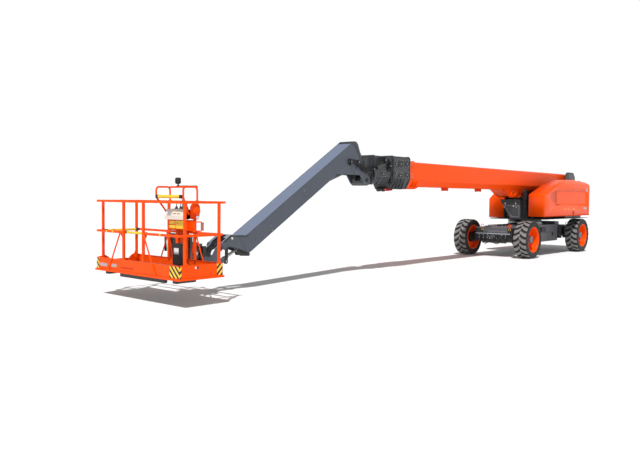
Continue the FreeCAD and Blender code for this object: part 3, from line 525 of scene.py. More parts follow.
# ------------------------------------------------------------------ wheels
def wheel(tag, sx, sy):
    lo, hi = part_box("tyre_" + tag)
    c = Vector(((lo[0] + hi[0]) / 2, (lo[1] + hi[1]) / 2, (lo[2] + hi[2]) / 2))
    R = (hi[2] - lo[2]) / 2
    W = (hi[1] - lo[1]) / 2
    out = Vector((0, sy, 0))
    body = "wheel_" + tag
    t = Mesh("tyre_tread_" + tag, body, replaces=("tyre_" + tag,))
    # carcass, bead to bead, with a bulged side wall and two rings on it
    prof = [(0.3745, -0.190), (0.384, -0.203), (0.400, -0.2085), (0.406, -0.213), (0.413, -0.2085), (0.44, -0.2165), (0.47, -0.2195), (0.476, -0.2225), (0.484, -0.2195),
            (0.505, -0.218), (0.528, -0.206), (0.541, -0.188), (0.5435, -0.15), (0.546, 0.0)]
    prof = prof + [(r, -s) for r, s in prof[:-1]][::-1] + [(0.3745, -0.190)]
    t.lathe(c, out, prof, RUBBER, n=96)
    # chevron lugs: each runs in from the shoulder and crosses the middle a little
    N = 19
    e1 = Vector((1, 0, 0))
    e3 = Vector((0, 0, 1))

    def at(th, s, r):
        return c + (e1 * math.cos(th) + e3 * math.sin(th)) * r + out * s

    def lug(base, side):
        # outline in (angle, across) as two rails from shoulder to middle
        step = 2 * math.pi / N
        pts = [(-0.205, 0.02, 0.54), (-0.150, 0.05, 0.54), (-0.100, 0.17, 0.60), (-0.045, 0.42, 0.60), (0.010, 0.62, 0.44)]
        wid = [0.64, 0.64, 0.60, 0.56, 0.46]
        rails = []
        for (s, k, _), w in zip(pts, wid):
            rails.append((base + k * step, base + (k + w) * step, s * side))
        top, bot = [], []
        for i, (ta, tb, s) in enumerate(rails):
            rt = R if abs(s) < 0.17 else R - 0.012
            if i == 0:
                rt = R - 0.016
            rb = 0.545 if abs(s) < 0.17 else 0.538
            if i == 0:
                rb = 0.515
            ch = 0.0045 / R
            top.append((at(ta + ch, s, rt), at(tb - ch, s, rt)))
            bot.append((at(ta - ch, s, rb - 0.012), at(tb + ch, s, rb - 0.012)))
        vs = []
        for (a, b), (cc, d) in zip(top, bot):
            vs += [a, b, cc, d]
        n = len(rails)
        tops, sides = [], []
        for i in range(n - 1):
            a, b = i * 4, (i + 1) * 4
            tops.append((a, a + 1, b + 1, b))
            sides.append((a, b, b + 2, a + 2))
            sides.append((a + 1, a + 3, b + 3, b + 1))
        sides.append((0, 2, 3, 1))
        e = (n - 1) * 4
        sides.append((e, e + 1, e + 3, e + 2))
        o = len(t.v)
        t.v += [tuple(p) for p in vs]
        t.f += [[x + o for x in f] for f in tops + sides]
        t.m += [t.mi(LUGTOP)] * len(tops) + [t.mi(RUBBER)] * len(sides)
        # shoulder block down the side wall
        ta, tb, s = rails[0]
        ch = 0.010 / R
        g = [at(ta + ch, side * 0.205, R - 0.017), at(tb - ch, side * 0.205, R - 0.017), at(ta + 2 * ch, side * 0.2215, 0.528), at(tb - 2 * ch, side * 0.2215, 0.528),
             at(ta + 3 * ch, side * 0.2205, 0.497), at(tb - 3 * ch, side * 0.2205, 0.497), at(ta, side * 0.19, R - 0.05), at(tb, side * 0.19, R - 0.05), at(ta + 3 * ch, side * 0.2, 0.49), at(tb - 3 * ch, side * 0.2, 0.49)]
        o = len(t.v)
        t.v += [tuple(p) for p in g]
        fl = [(0, 1, 3, 2), (2, 3, 5, 4), (0, 2, 4, 8, 6), (1, 7, 9, 5, 3), (0, 6, 7, 1), (4, 5, 9, 8), (6, 8, 9, 7)]
        t.f += [[x + o for x in f] for f in fl]
        t.m += [t.mi(RUBBER)] * len(fl)

    for i in range(N):
        lug(2 * math.pi * i / N, 1)
        lug(2 * math.pi * (i + 0.5) / N, -1)
    t.done(bevel=0.0025, segs=1, smooth=30, slot="tyre_rubber")

    # rim: flange, well, dished disc, hub, wheel nuts, valve
    m = Mesh("rim_disc_" + tag, body, replaces=("rim_" + tag,))
    prof = [(0.358, -0.206), (0.398, -0.2065), (0.400, -0.201), (0.398, -0.193), (0.3735, -0.187), (0.3735, 0.187), (0.398, 0.193), (0.400, 0.201), (0.396, 0.2065),
            (0.386, 0.2045), (0.374, 0.200), (0.366, 0.190), (0.360, 0.150), (0.352, 0.040), (0.340, 0.004), (0.326, -0.030), (0.300, -0.056), (0.262, -0.063),
            (0.228, -0.058), (0.205, -0.058), (0.198, -0.064), (0.150, -0.066), (0.112, -0.066), (0.112, -0.0842), (0.300, -0.0842), (0.344, -0.062), (0.356, -0.206), (0.358, -0.206)]
    m.lathe(c, out, prof, ORANGE, n=72)
    # hand holes round the disc: black discs as painted shade of the holes, with a lip
    for i in range(8):
        th = 2 * math.pi * (i + 0.5) / 8
        q = c + (e1 * math.cos(th) + e3 * math.sin(th)) * 0.288 + out * -0.0565
        m.lathe(q, out, [(0.0, 0.0005), (0.017, 0.0005), (0.0185, 0.004), (0.0225, 0.003), (0.0235, -0.004)], ORANGE, n=14, mats=[BLACK, BLACK, ORANGE, ORANGE])
    for i in range(10):
        th = 2 * math.pi * i / 10
        q = c + (e1 * math.cos(th) + e3 * math.sin(th)) * 0.168 + out * -0.066
        m.bolt(q, out, 0.032, ZINC, h=0.026)
        m.tube(q + out * 0.028, q + out * 0.040, 0.0095, ZINC, 10)
    hub = [(0.1118, -0.0842), (0.1118, 0.030), (0.134, 0.034), (0.138, 0.040), (0.138, 0.056), (0.132, 0.062), (0.118, 0.066), (0.115, 0.072), (0.115, 0.126), (0.111, 0.136), (0.100, 0.142), (0.040, 0.142), (0.036, 0.138), (0.0, 0.138)]
    m.lathe(c, out, hub, GREY, n=40)
    for i in range(6):
        th = 2 * math.pi * (i + 0.25) / 6
        m.bolt(c + (e1 * math.cos(th) + e3 * math.sin(th)) * 0.127 + out * 0.063, out, 0.011, ZINC, washer=False)
        m.bolt(c + (e1 * math.cos(th) + e3 * math.sin(th)) * 0.072 + out * 0.1415, out, 0.009, ZINC, washer=False, h=0.0035)
    v = c + (e1 * math.cos(0.9) + e3 * math.sin(0.9)) * 0.345 + out * 0.03
    m.tube(v, v + out * 0.05 - (e1 * math.cos(0.9) + e3 * math.sin(0.9)) * 0.012, 0.006, PLASTIC, 8)
    m.done(bevel=0.0, smooth=32, slot="orange_paint")


for tag, sx, sy in (("front_left", 1, 1), ("front_right", 1, -1), ("rear_left", -1, 1), ("rear_right", -1, -1)):
    wheel(tag, sx, sy)

# ------------------------------------------------------------------ platform
_lo, _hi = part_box("rail_front")
PX1 = (_hi[0] - OX) * 1000 - 0.0
_rl, _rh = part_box("rail_left_end")
PH = _rh[1] * 1000
PX1 = 15360.0
PX0 = 14460.0
RZ = _rh[2] * 1000
MZ = 1180.0
PB = 460.0
TZ = 700.0


def platform_trim():
    g = Mesh("platform_gussets", "platform")
    # rounded gussets under the mid rail at the gate posts, and at the rear posts
    for y, s in ((-402, -1), (232, 1)):
        g.arc_plate("yz", PX1 - 26, PX1 - 18, (y, MZ - 20), 0, 72, 180 if s < 0 else 270, 270 if s < 0 else 360, ORANGE)
        g.bolt(P(PX1 - 18, y + s * 26, MZ - 46), (1, 0, 0), 0.014, ZINC)
    for y, s in ((-272, -1), (522, 1)):
        g.arc_plate("yz", PX0 + 14, PX0 + 22, (y, MZ - 20), 0, 60, 180 if s < 0 else 270, 270 if s < 0 else 360, ORANGE)
    # chamfered gussets where the entry posts meet the toe board
    for x, s in ((14530, 1), (15240, -1)):
        g.prism("xz", -PH + 1, -PH + 9, [(x + s * 19, 636), (x + s * 150, 636), (x + s * 150, 655), (x + s * 96, 700), (x + s * 46, 720), (x + s * 19, 780)], ORANGE)
    for x, s in ((14530, -1), (15240, 1)):
        g.prism("xz", -PH + 1, -PH + 9, [(x + s * 19, 636), (x + s * 92, 636), (x + s * 92, 700), (x + s * 19, 712)], ORANGE)
    for x, s in ((14530, 1), (15240, -1)):
        for y in (PH - 10,):
            g.prism("xz", y, y + 8, [(x + s * 19, 697), (x + s * 70, 697), (x + s * 19, 760)], ORANGE)
    # post feet: little collars where tubes meet the toe boards
    for x in (14530, 15240):
        for s, z in ((1, 700), (-1, 640)):
            g.box(x - 24, x + 24, s * PH - (44 if s > 0 else 0), s * PH + (0 if s > 0 else 44), z - 3, z + 7, ORANGE)
    for y in (-380, 210):
        g.box(PX1 - 44, PX1 - 0.5, y - 24, y + 24, TZ - 3, TZ + 7, ORANGE)
    for y in (-250, 500):
        g.box(PX0 + 0.5, PX0 + 44, y - 24, y + 24, TZ - 3, TZ + 7, ORANGE)
    # stiffening lips folded along the top of the toe boards
    g.box(PX1 - 16, PX1 - 0.6, -PH + 8, PH - 8, TZ - 6, TZ - 0.5, ORANGE)
    g.box(PX0 + 0.6, PX0 + 16, -PH + 8, PH - 8, TZ - 6, TZ - 0.5, ORANGE)
    g.box(PX0 + 12, PX1 - 12, PH - 16, PH - 0.6, TZ - 6, TZ - 0.5, ORANGE)
    # brace feet
    for y in (-812, 592):
        g.box(PX1 + 0.5, PX1 + 21, y - 22, y + 22, PB + 34.5, PB + 62, ORANGE)
    # harness anchor rings and their plates on the floor side
    for y in (-1010, 860):
        g.box(PX1 - 14, PX1 - 6, y - 36, y + 36, 588, 652, YELLOW)
        g.lathe(P(PX1 - 20, y, 610), (0, 1, 0), [(0.020, 0), (0.0235, -0.004), (0.028, 0), (0.0235, 0.004), (0.020, 0)], ZINC, n=20)
    g.done(bevel=0.0015, segs=1, slot="orange_paint")

    h = Mesh("hazard_plates", "platform")
    z0, z1 = 500, 692
    h.box(PX1, PX1 + 1.6, PH - 262, PH - 2, z0, z1, HAZARD)
    h.box(PX1, PX1 + 1.6, -PH + 2, -PH + 92, z0, z1 - 4, HAZARD)
    h.box(PX0 + 8, PX0 + 128, PH, PH + 1.6, z0, z1, HAZARD)
    h.box(PX1 - 40, PX1, PH, PH + 1.6, z0, z1, HAZARD)
    h.box(PX0 - 1.6, PX0, PH - 262, PH - 2, z0, z1, HAZARD)
    h.box(PX0 - 1.6, PX0, -PH + 2, -PH + 262, z0, z1, HAZARD)
    h.box(PX1 - 130, PX1 - 8, -PH - 1.2, -PH, z0, 634, HAZARD)
    h.box(PX0 + 8, PX0 + 130, -PH - 1.2, -PH, z0, 634, HAZARD)
    h.done(slot="yellow_paint")

    p = Mesh("blank_plates", "platform")
    p.box(PX1, PX1 + 1.4, -1108, -880, 545, 600, PLATE)
    p.box(PX1, PX1 + 1.4, -745, -575, 552, 606, PLATE)
    p.box(PX1, PX1 + 1.4, -450, -60, 545, 575, DEEP_ORANGE_AND_PAINTED_SHADE)
    p.box(PX1 - 262, PX1 - 80, PH, PH + 1.4, 614, 668, ORANGE)
    for i, x in enumerate((14545, 14585)):
        p.box(x + 430, x + 462, PH, PH + 1.5, 640, 676, LABEL if i else PLASTIC)
    for y, z, c in ((-900, 1182, YELLOW), (-700, 1182, YELLOW), (700, 1182, YELLOW)):
        p.box(PX1 - 0.0, PX1 + 1.4, y - 22, y + 22, z - 12, z + 12, c)
    p.done(slot="console_plastic")

    # deck: checker bars on the floor sheet
    d = Mesh("deck_tread", "platform")
    for i in range(37):
        for j in range(12):
            x, y = 14500 + j * 70, -1170 + i * 65
            if 14425 < x < 14700 and -90 < y < 480:
                pass
            s = 1 if (i + j) % 2 else -1
            a = Vector((0.020, 0.006 * 0, 0))
            c = P(x, y, 560.0)
            r = Matrix.Rotation(math.radians(45 * s), 3, "Z")
            u, v = r @ Vector((0.019, 0, 0)), r @ Vector((0, 0.0045, 0))
            t = Vector((0, 0, 0.0024))
            d.add([c - u - v, c + u - v, c + u + v, c - u + v, c - u * 0.7 - v * 0.3 + t, c + u * 0.7 - v * 0.3 + t, c + u * 0.7 + v * 0.3 + t, c - u * 0.7 + v * 0.3 + t],
                  [(4, 5, 6, 7), (0, 1, 5, 4), (1, 2, 6, 5), (2, 3, 7, 6), (3, 0, 4, 7)], GRATE)
    d.done()

    # gate bars: yellow sleeves with a raised middle band, on black end stops
    def gate(name, body, node, axis):
        lo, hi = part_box(node)
        m = Mesh(name, body, replaces=(node,))
        c = [(lo[i] + hi[i]) / 2 for i in range(3)]
        r = (hi[2] - lo[2]) / 2 * 1.12
        a, b = Vector(c), Vector(c)
        a[axis], b[axis] = lo[axis], hi[axis]
        d = (b - a).normalized()
        m.lathe(a, d, [(0, 0), (r * 0.80, 0), (r * 0.98, 0.006), (r * 0.98, 0.070), (r * 0.80, 0.078)], PLASTIC, n=20)
        m.lathe(b, -d, [(0, 0), (r * 0.80, 0), (r * 0.98, 0.006), (r * 0.98, 0.070), (r * 0.80, 0.078)], PLASTIC, n=20)
        L = (b - a).length
        m.lathe(a, d, [(r * 0.80, 0.074), (r * 0.86, 0.078), (r * 0.86, L / 2 - 0.03), (r * 0.93, L / 2 - 0.026), (r * 0.93, L / 2 + 0.026), (r * 0.86, L / 2 + 0.03), (r * 0.86, L - 0.078), (r * 0.80, L - 0.074)], YELLOW, n=24)
        for e in (a + d * 0.045, b - d * 0.045):
            m.tube(e + Vector((0, 0, r * 0.9)), e + Vector((0, 0, r * 0.99)), 0.007, ZINC, 10)
        m.done(smooth=40, slot="yellow_paint")
    gate("gate_sleeve_front", "gate_bar_front", "gate_bar_front", 1)
    gate("gate_sleeve_right", "gate_bar_right", "gate_bar_right", 0)

    # guard over the console, tubes with round corners
    lo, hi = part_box("console_guard")
    gt = hi[2] * 1000
    m = Mesh("guard_hoops", "platform", replaces=("console_guard",))
    r = 0.0168
    for y in (-235, 546):
        s = 1 if y < 0 else -1
        yc = -106 if y < 0 else 494
        m.pipe([P(14467, y, RZ + 2), P(14467, y, gt - 17), P(14768, y, gt - 17), P(14768, y, 1800), P(14610, yc, 1500)], r, ORANGE, n=14, bend=0.062, seg=7)
        m.box(14445, 14490, y - 24, y + 24, RZ + 0.5, RZ + 9, ORANGE)
        for dx in (-1,):
            m.bolt(P(14484, y, RZ + 9), (0, 0, 1), 0.010, ZINC)
    m.pipe([P(14467, -235, gt - 17), P(14467, 546, gt - 17)], r, ORANGE, n=14)
    m.pipe([P(14468, 155, gt - 17), P(14468, 155, RZ + 4)], 0.013, ORANGE, n=12)
    m.done(smooth=40, slot="orange_paint")

    # crush sensor: yellow sleeve between black end housings
    lo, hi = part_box("sensor_bar")
    m = Mesh("sensor_sleeve", "platform", replaces=("sensor_bar",))
    cy0, cy1, zc, xc = lo[1], hi[1], (lo[2] + hi[2]) / 2, (lo[0] + hi[0]) / 2
    m.pipe([(xc, cy0 + 0.05, zc), (xc, cy1 - 0.05, zc)], 0.029, YELLOW, n=24)
    for k in range(7):
        y = cy0 + 0.10 + k * (cy1 - cy0 - 0.2) / 6
        m.lathe((xc, y, zc), (0, 1, 0), [(0.029, -0.004), (0.0302, -0.002), (0.0302, 0.002), (0.029, 0.004)], YELLOW, n=20)
    for y in (cy0, cy1 - 0.06):
        yy = (y - 0) * 1000
        m.box((xc - OX) * 1000 - 31, (xc - OX) * 1000 + 31, yy, yy + 62, zc * 1000 - 31, zc * 1000 + 31, PLASTIC)
    m.pipe([(xc, cy1 - 0.03, zc - 0.018), (xc - 0.03, cy1 - 0.02, zc - 0.09), (xc - 0.12, cy1 - 0.03, zc - 0.20), P(14650, 470, 1560)], 0.0055, HOSE, n=8)
    m.done(bevel=0.003, segs=2, slot="yellow_paint")

    # work lamp on its stem, with its cable
    m = Mesh("work_lamp", "platform")
    m.tube(P(14467, 0, gt - 4), P(14467, 0, gt + 38), 0.012, BLACK, 14)
    m.box(14447, 14487, -20, 20, gt - 1, gt + 7, BLACK)
    m.lathe(P(14467, 0, gt + 36), (0, 0, 1), [(0, 0), (0.030, 0.0), (0.044, 0.010), (0.052, 0.030), (0.053, 0.085), (0.050, 0.104), (0.040, 0.114), (0.014, 0.118), (0, 0.118)], PLASTIC, n=28)
    for k in range(4):
        m.lathe(P(14467, 0, gt + 58 + k * 14), (0, 0, 1), [(0.052, -0.0022), (0.0558, -0.0012), (0.0558, 0.0012), (0.052, 0.0022)], BLACK, n=28)
    m.curve([P(14467, 14, gt + 20), P(14462, 50, gt + 4), P(14461, 210, gt + 5), P(14460, 330, gt + 3), P(14455, 520, gt + 4)], 0.005, HOSE, n=8)
    m.done(smooth=40)

    # document tube
    lo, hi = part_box("document_box")
    x0, x1, y0, y1, z0, z1 = [(v - OX) * 1000 if i < 2 else v * 1000 for i, v in enumerate((lo[0], hi[0], lo[1], hi[1], lo[2], hi[2]))]
    m = Mesh("document_case", "platform", replaces=("document_box",))
    rr = 46
    pts = []
    for cx, cz, a0 in ((y1 - rr, z1 - rr, 0), (y0 + rr, z1 - rr, 90), (y0 + 22, z0 + 22, 180), (y1 - 22, z0 + 22, 270)):
        q = rr if cz > z0 + 100 else 22
        pts += [(cx + q * math.cos(math.radians(a0 + t)), cz + q * math.sin(math.radians(a0 + t))) for t in range(0, 91, 15)]
    m.prism("yz", x0, x1 - 9, pts, PLASTIC)
    m.prism("yz", x1 - 9, x1 - 2, [((a - (y0 + y1) / 2) * 0.95 + (y0 + y1) / 2, (b - (z0 + z1) / 2) * 0.97 + (z0 + z1) / 2) for a, b in pts], PLASTIC)
    m.box(x1 - 2.2, x1 - 0.6, y0 + 45, y1 - 45, z0 + 190, z0 + 296, LABEL)
    m.box(x1 - 2.0, x1 - 0.2, y0 + 45, y1 - 45, z0 + 190, z0 + 228, LABEL_BLUE)
    m.box(x1 - 4, x1 - 0.2, (y0 + y1) / 2 - 26, (y0 + y1) / 2 + 26, z1 - 30, z1 - 12, BLACK)
    for y in (y0 + 40, y1 - 40):
        m.tube(P(x0 + 20, y, z1 - 1), P(x0 + 20, y, z1 + 4), 0.010, ZINC, 12)
    m.done(bevel=0.004, segs=2, slot="black_plastic")


platform_trim()


def console():
    lo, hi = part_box("control_console")
    y0, y1 = lo[1] * 1000, hi[1] * 1000
    m = Mesh("console_case", "platform", replaces=("control_console",))
    side = [(14426, 1441), (14699, 1402), (14699, 1440), (14640, 1588), (14632, 1589.5), (14446, 1589.5), (14437, 1586)]
    m.prism("xz", y0, y1, side, BEIGE)
    # raised end cheeks and a seam round the lid
    for a, b in ((y0, y0 + 14), (y1 - 14, y1)):
        m.prism("xz", a, b, [(14425.5, 1441), (14699.8, 1401.5), (14699.8, 1446), (14646, 1589.8), (14434, 1589.8)], BEIGE)
    m.done(bevel=0.006, segs=3, slot="console_plastic")

    t = Mesh("console_controls", "platform")
    # the sloped face carries blank sub-plates; the lid carries the levers
    n = Vector((0.928, 0, 0.372)).normalized()
    up = Vector((-0.372, 0, 0.928)).normalized()

    def face(u, v):
        return P(14700 - 60 * v, u, 1441 + 148 * v) + n * 0.0006
    def plate(u0, u1, v0, v1, mat, h=0.0016):
        a, b, c, d = face(u0, v0), face(u1, v0), face(u1, v1), face(u0, v1)
        t.add([a, b, c, d, a + n * h, b + n * h, c + n * h, d + n * h], [(0, 3, 2, 1), (4, 5, 6, 7), (0, 1, 5, 4), (1, 2, 6, 5), (2, 3, 7, 6), (3, 0, 4, 7)], mat)
    plate(y0 + 34, y1 - 34, 0.10, 0.86, BEIGE, 0.003)
    plate(y0 + 60, y0 + 180, 0.22, 0.70, PLATE, 0.0042)
    for k in range(7):
        q = face(y0 + 222 + k * 36, 0.46) + n * 0.003
        t.lathe(q, n, [(0, 0.010), (0.006, 0.010), (0.008, 0.007), (0.0085, 0.0)], PLASTIC if k % 3 else YELLOW, n=14)
        t.lathe(q, n, [(0.0125, 0.0), (0.0125, 0.002), (0.0085, 0.003)], ZINC, n=16)
    for k, (x, y) in enumerate(((14505, 10), (14505, 130), (14560, 255), (14560, 380))):
        b = P(x, y, 1589.5)
        t.box(x - 34, x + 34, y - 34, y + 34, 1589.5, 1594, PLASTIC)
        t.lathe(b, (0, 0, 1), [(0.030, 0.004), (0.029, 0.012), (0.024, 0.018), (0.026, 0.024), (0.019, 0.031), (0.021, 0.037), (0.013, 0.044), (0.0075, 0.052)], HOSE, n=24)
        tip = b + Vector((0.010 * (1 if k % 2 else -1), 0.006, 0.108))
        t.pipe([b + Vector((0, 0, 0.05)), b + Vector((0, 0, 0.075)), tip], 0.0075, BLACK, n=10)
        t.lathe(tip - Vector((0, 0, 0.012)), (0, 0, 1), [(0, 0.046), (0.009, 0.045), (0.0145, 0.036), (0.0155, 0.016), (0.0125, 0.0), (0.0, 0.0)], PLASTIC, n=18)
    # red stop button on a yellow ring
    b = P(14500, 442, 1589.5)
    t.lathe(b, (0, 0, 1), [(0.030, 0), (0.030, 0.004), (0.020, 0.005)], YELLOW, n=24)
    t.lathe(b, (0, 0, 1), [(0.013, 0.004), (0.013, 0.018), (0.021, 0.020), (0.0225, 0.027), (0.018, 0.034), (0, 0.036)], REDPART, n=24)
    for x, y in ((14620, 60), (14620, 110), (14620, 320), (14620, 350)):
        t.lathe(P(x, y, 1589.5), (0, 0, 1), [(0.009, 0), (0.009, 0.003), (0.004, 0.004), (0.0032, 0.022), (0.0, 0.024)], ZINC, n=12)
    t.done(bevel=0.0008, segs=1, smooth=40)

    # box below: bevelled body, blank yellow plates, funnel, column and foot
    lo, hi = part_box("console_box")
    b = Mesh("console_lower", "platform", replaces=("console_box",))
    x0, x1, q0, q1, z0, z1 = (lo[0] - OX) * 1000, (hi[0] - OX) * 1000, lo[1] * 1000, hi[1] * 1000, lo[2] * 1000, hi[2] * 1000
    b.prism("xz", q0, q1, [(x0, z0), (x1 - 26, z0), (x1, z0 + 26), (x1, z1), (x0, z1)], ORANGE)
    b.box(x0 + 20, x1 - 10, q0 - 2.5, q0, z0 + 16, z1 - 14, ORANGE)
    b.done(bevel=0.006, segs=2, slot="orange_paint")
    k = Mesh("console_plates", "platform")
    w = (q1 - q0)
    k.box(x1, x1 + 1.6, q0 + w * 0.08, q0 + w * 0.40, z0 + 106, z1 - 16, YELLOW)
    k.box(x1, x1 + 1.6, q0 + w * 0.08, q0 + w * 0.40, z0 + 34, z0 + 92, YELLOW)
    k.box(x1, x1 + 1.6, q0 + w * 0.45, q0 + w * 0.93, z0 + 30, z1 - 12, YELLOW)
    for u, v in ((0.105, 60), (0.375, 60), (0.105, 132), (0.375, 132)):
        k.tube(P(x1 + 1.6, q0 + w * u, z0 + v), P(x1 + 2.6, q0 + w * u, z0 + v), 0.0035, ZINC, 8)
    for u in (0.48, 0.90):
        for v in (40, 160):
            k.tube(P(x1 + 1.6, q0 + w * u, z0 + v), P(x1 + 2.6, q0 + w * u, z0 + v), 0.0035, ZINC, 8)
    k.box(x1 + 1.5, x1 + 2.3, q0 + w * 0.51, q0 + w * 0.56, z0 + 122, z0 + 136, PLASTIC)
    k.box(x1, x1 + 1.6, q0 + w * 0.42, q0 + w * 0.435, z0 + 40, z1 - 20, LABEL)
    k.done(bevel=0.0004, segs=1)

    f = Mesh("console_column", "platform")
    # funnel under the box, in the darker orange as painted shade
    top = [(14446, 150), (14618, 150), (14618, 380), (14446, 380)]
    bot = [(14506, 205), (14575, 205), (14575, 325), (14506, 325)]
    vs = [P(x, y, 1213) for x, y in top] + [P(x, y, 1120) for x, y in bot] + [P(x, y, 1000) for x, y in bot]
    f.add(vs, [(0, 3, 2, 1), (8, 9, 10, 11)] + [(i, (i + 1) % 4, 4 + (i + 1) % 4, 4 + i) for i in range(4)] + [(4 + i, 4 + (i + 1) % 4, 8 + (i + 1) % 4, 8 + i) for i in range(4)], DEEP_ORANGE_AND_PAINTED_SHADE)
    f.pipe([P(14540, 265, 1002), P(14540, 265, 720)], 0.024, ORANGE, n=16)
    f.box(14506, 14580, 225, 305, 706, 720, ORANGE)
    f.bolt(P(14540, 245, 720), (0, 0, 1), 0.013, ZINC)
    f.done(bevel=0.004, segs=2)

    # rounded red cover at the console's left rear, the small loop beside the box, and a plate behind
    c = Mesh("console_side_cover", "platform")
    pts = [(14466, 1418), (14560, 1418), (14590, 1448), (14590, 1640), (14566, 1676), (14540, 1690)]
    arc = [(14466 + 40 + 62 * math.cos(math.radians(a)), 1600 + 92 * math.sin(math.radians(a))) for a in range(90, 181, 15)]
    c.prism("xz", 506, 600, pts + arc, DEEP_ORANGE_AND_PAINTED_SHADE)
    c.lathe(P(14520, 600, 1560), (0, 1, 0), [(0.0, 0.026), (0.050, 0.026), (0.066, 0.020), (0.074, 0.0), (0.074, -0.01)], ORANGE, n=32)
    c.box(14470, 14530, 600, 603, 1430, 1480, LABEL)
    c.done(bevel=0.012, segs=3)
    l = Mesh("console_loop", "platform")
    l.pipe([P(14540, 600, 1372), P(14412, 600, 1372), P(14412, 600, 1212), P(14540, 600, 1212)], 0.011, ORANGE, n=12, bend=0.022)
    l.box(14540, 14560, 462, 612, 1200, 1384, ORANGE)
    l.box(14392, 14400, 560, 640, 1216, 1366, PLATE)
    l.box(14470, 14620, 462, 540, 1222, 1232, ORANGE)
    l.done(bevel=0.001, segs=1)

    # cables from the console down the column, clipped
    h = Mesh("platform_cables", "platform")
    for i in range(4):
        y = 232 + i * 22
        h.curve([P(14500 - i * 3, y, 1215), P(14488, y + 3, 1120), P(14482, y + 5, 960), P(14480, y, 800), P(14476, y - 30, 742), P(14472, y - 90, 730)], 0.0075, HOSE, n=10)
    for z in (1060, 880):
        h.box(14470, 14510, 222, 312, z - 6, z + 6, ZINC)
    h.done(smooth=50)


console()


def bracket_trim():
    m = Mesh("bracket_ribs", "platform")
    for y in (-140, 132):
        m.prism("xz", y, y + 8, [(14300, 644), (14390, 644), (14390, 906), (14300, 906), (14344, 850), (14344, 700)], DARK)
    for y in (-310, -160, 0, 160, 310):
        for z in (540, 700, 860, 1100):
            if abs(y) < 200 and 640 < z < 930:
                continue
            m.bolt(P(14395, y, z), (-1, 0, 0), 0.020, ZINC)
    # top and bottom clamp plates of the rotator with cap screws
    for z, s in ((951, 1), (599, -1)):
        m.lathe(P(14160, 0, z), (0, 0, s), [(0.132, -0.002), (0.132, 0.010), (0.120, 0.016), (0.050, 0.016), (0.046, 0.026), (0.0, 0.026)], DARK, n=40)
        for i in range(8):
            a = 2 * math.pi * i / 8
            m.bolt(P(14160 + 104 * math.cos(a), 104 * math.sin(a), z + s * 16), (0, 0, s), 0.018, ZINC, washer=False)
    for y in (-420, 420):
        m.prism("xz", y - 4, y + 4, [(14398, 800), (14456, 800), (14456, 1120), (14420, 1060)], DARK)
    m.done(bevel=0.002, segs=1)
    r = Mesh("rotator_trim", "levelling_yoke", replaces=("rotator",))
    r.lathe(P(14160, 0, 650), (0, 0, 1), [(0, 0.002), (0.120, 0.002), (0.126, 0.006), (0.126, 0.026), (0.146, 0.032), (0.149, 0.040), (0.149, 0.100), (0.142, 0.106), (0.142, 0.144), (0.149, 0.150), (0.149, 0.210), (0.146, 0.218),
                                          (0.126, 0.224), (0.126, 0.244), (0.120, 0.248), (0, 0.248)], BLACK, n=48)
    r.box(14021, 14060, -120, 120, 660, 890, BLACK)
    for z in (720, 830):
        for s in (-1, 1):
            r.tube(P(14160 + 40, s * 138, z), P(14160 + 40, s * 149.5, z), 0.020, ZINC, 14)
    r.lathe(P(14160, 0, 774), (0, 1, 0), [(0.034, 0.1480), (0.034, 0.1492), (0.0, 0.1495)], ZINC, n=18)
    r.done(bevel=0.003, segs=2)


bracket_trim()

# ------------------------------------------------------------------ boom
def bolt_row(m, pts, d, af, mat=ZINC):
    for p in pts:
        m.bolt(p, d, af, mat)


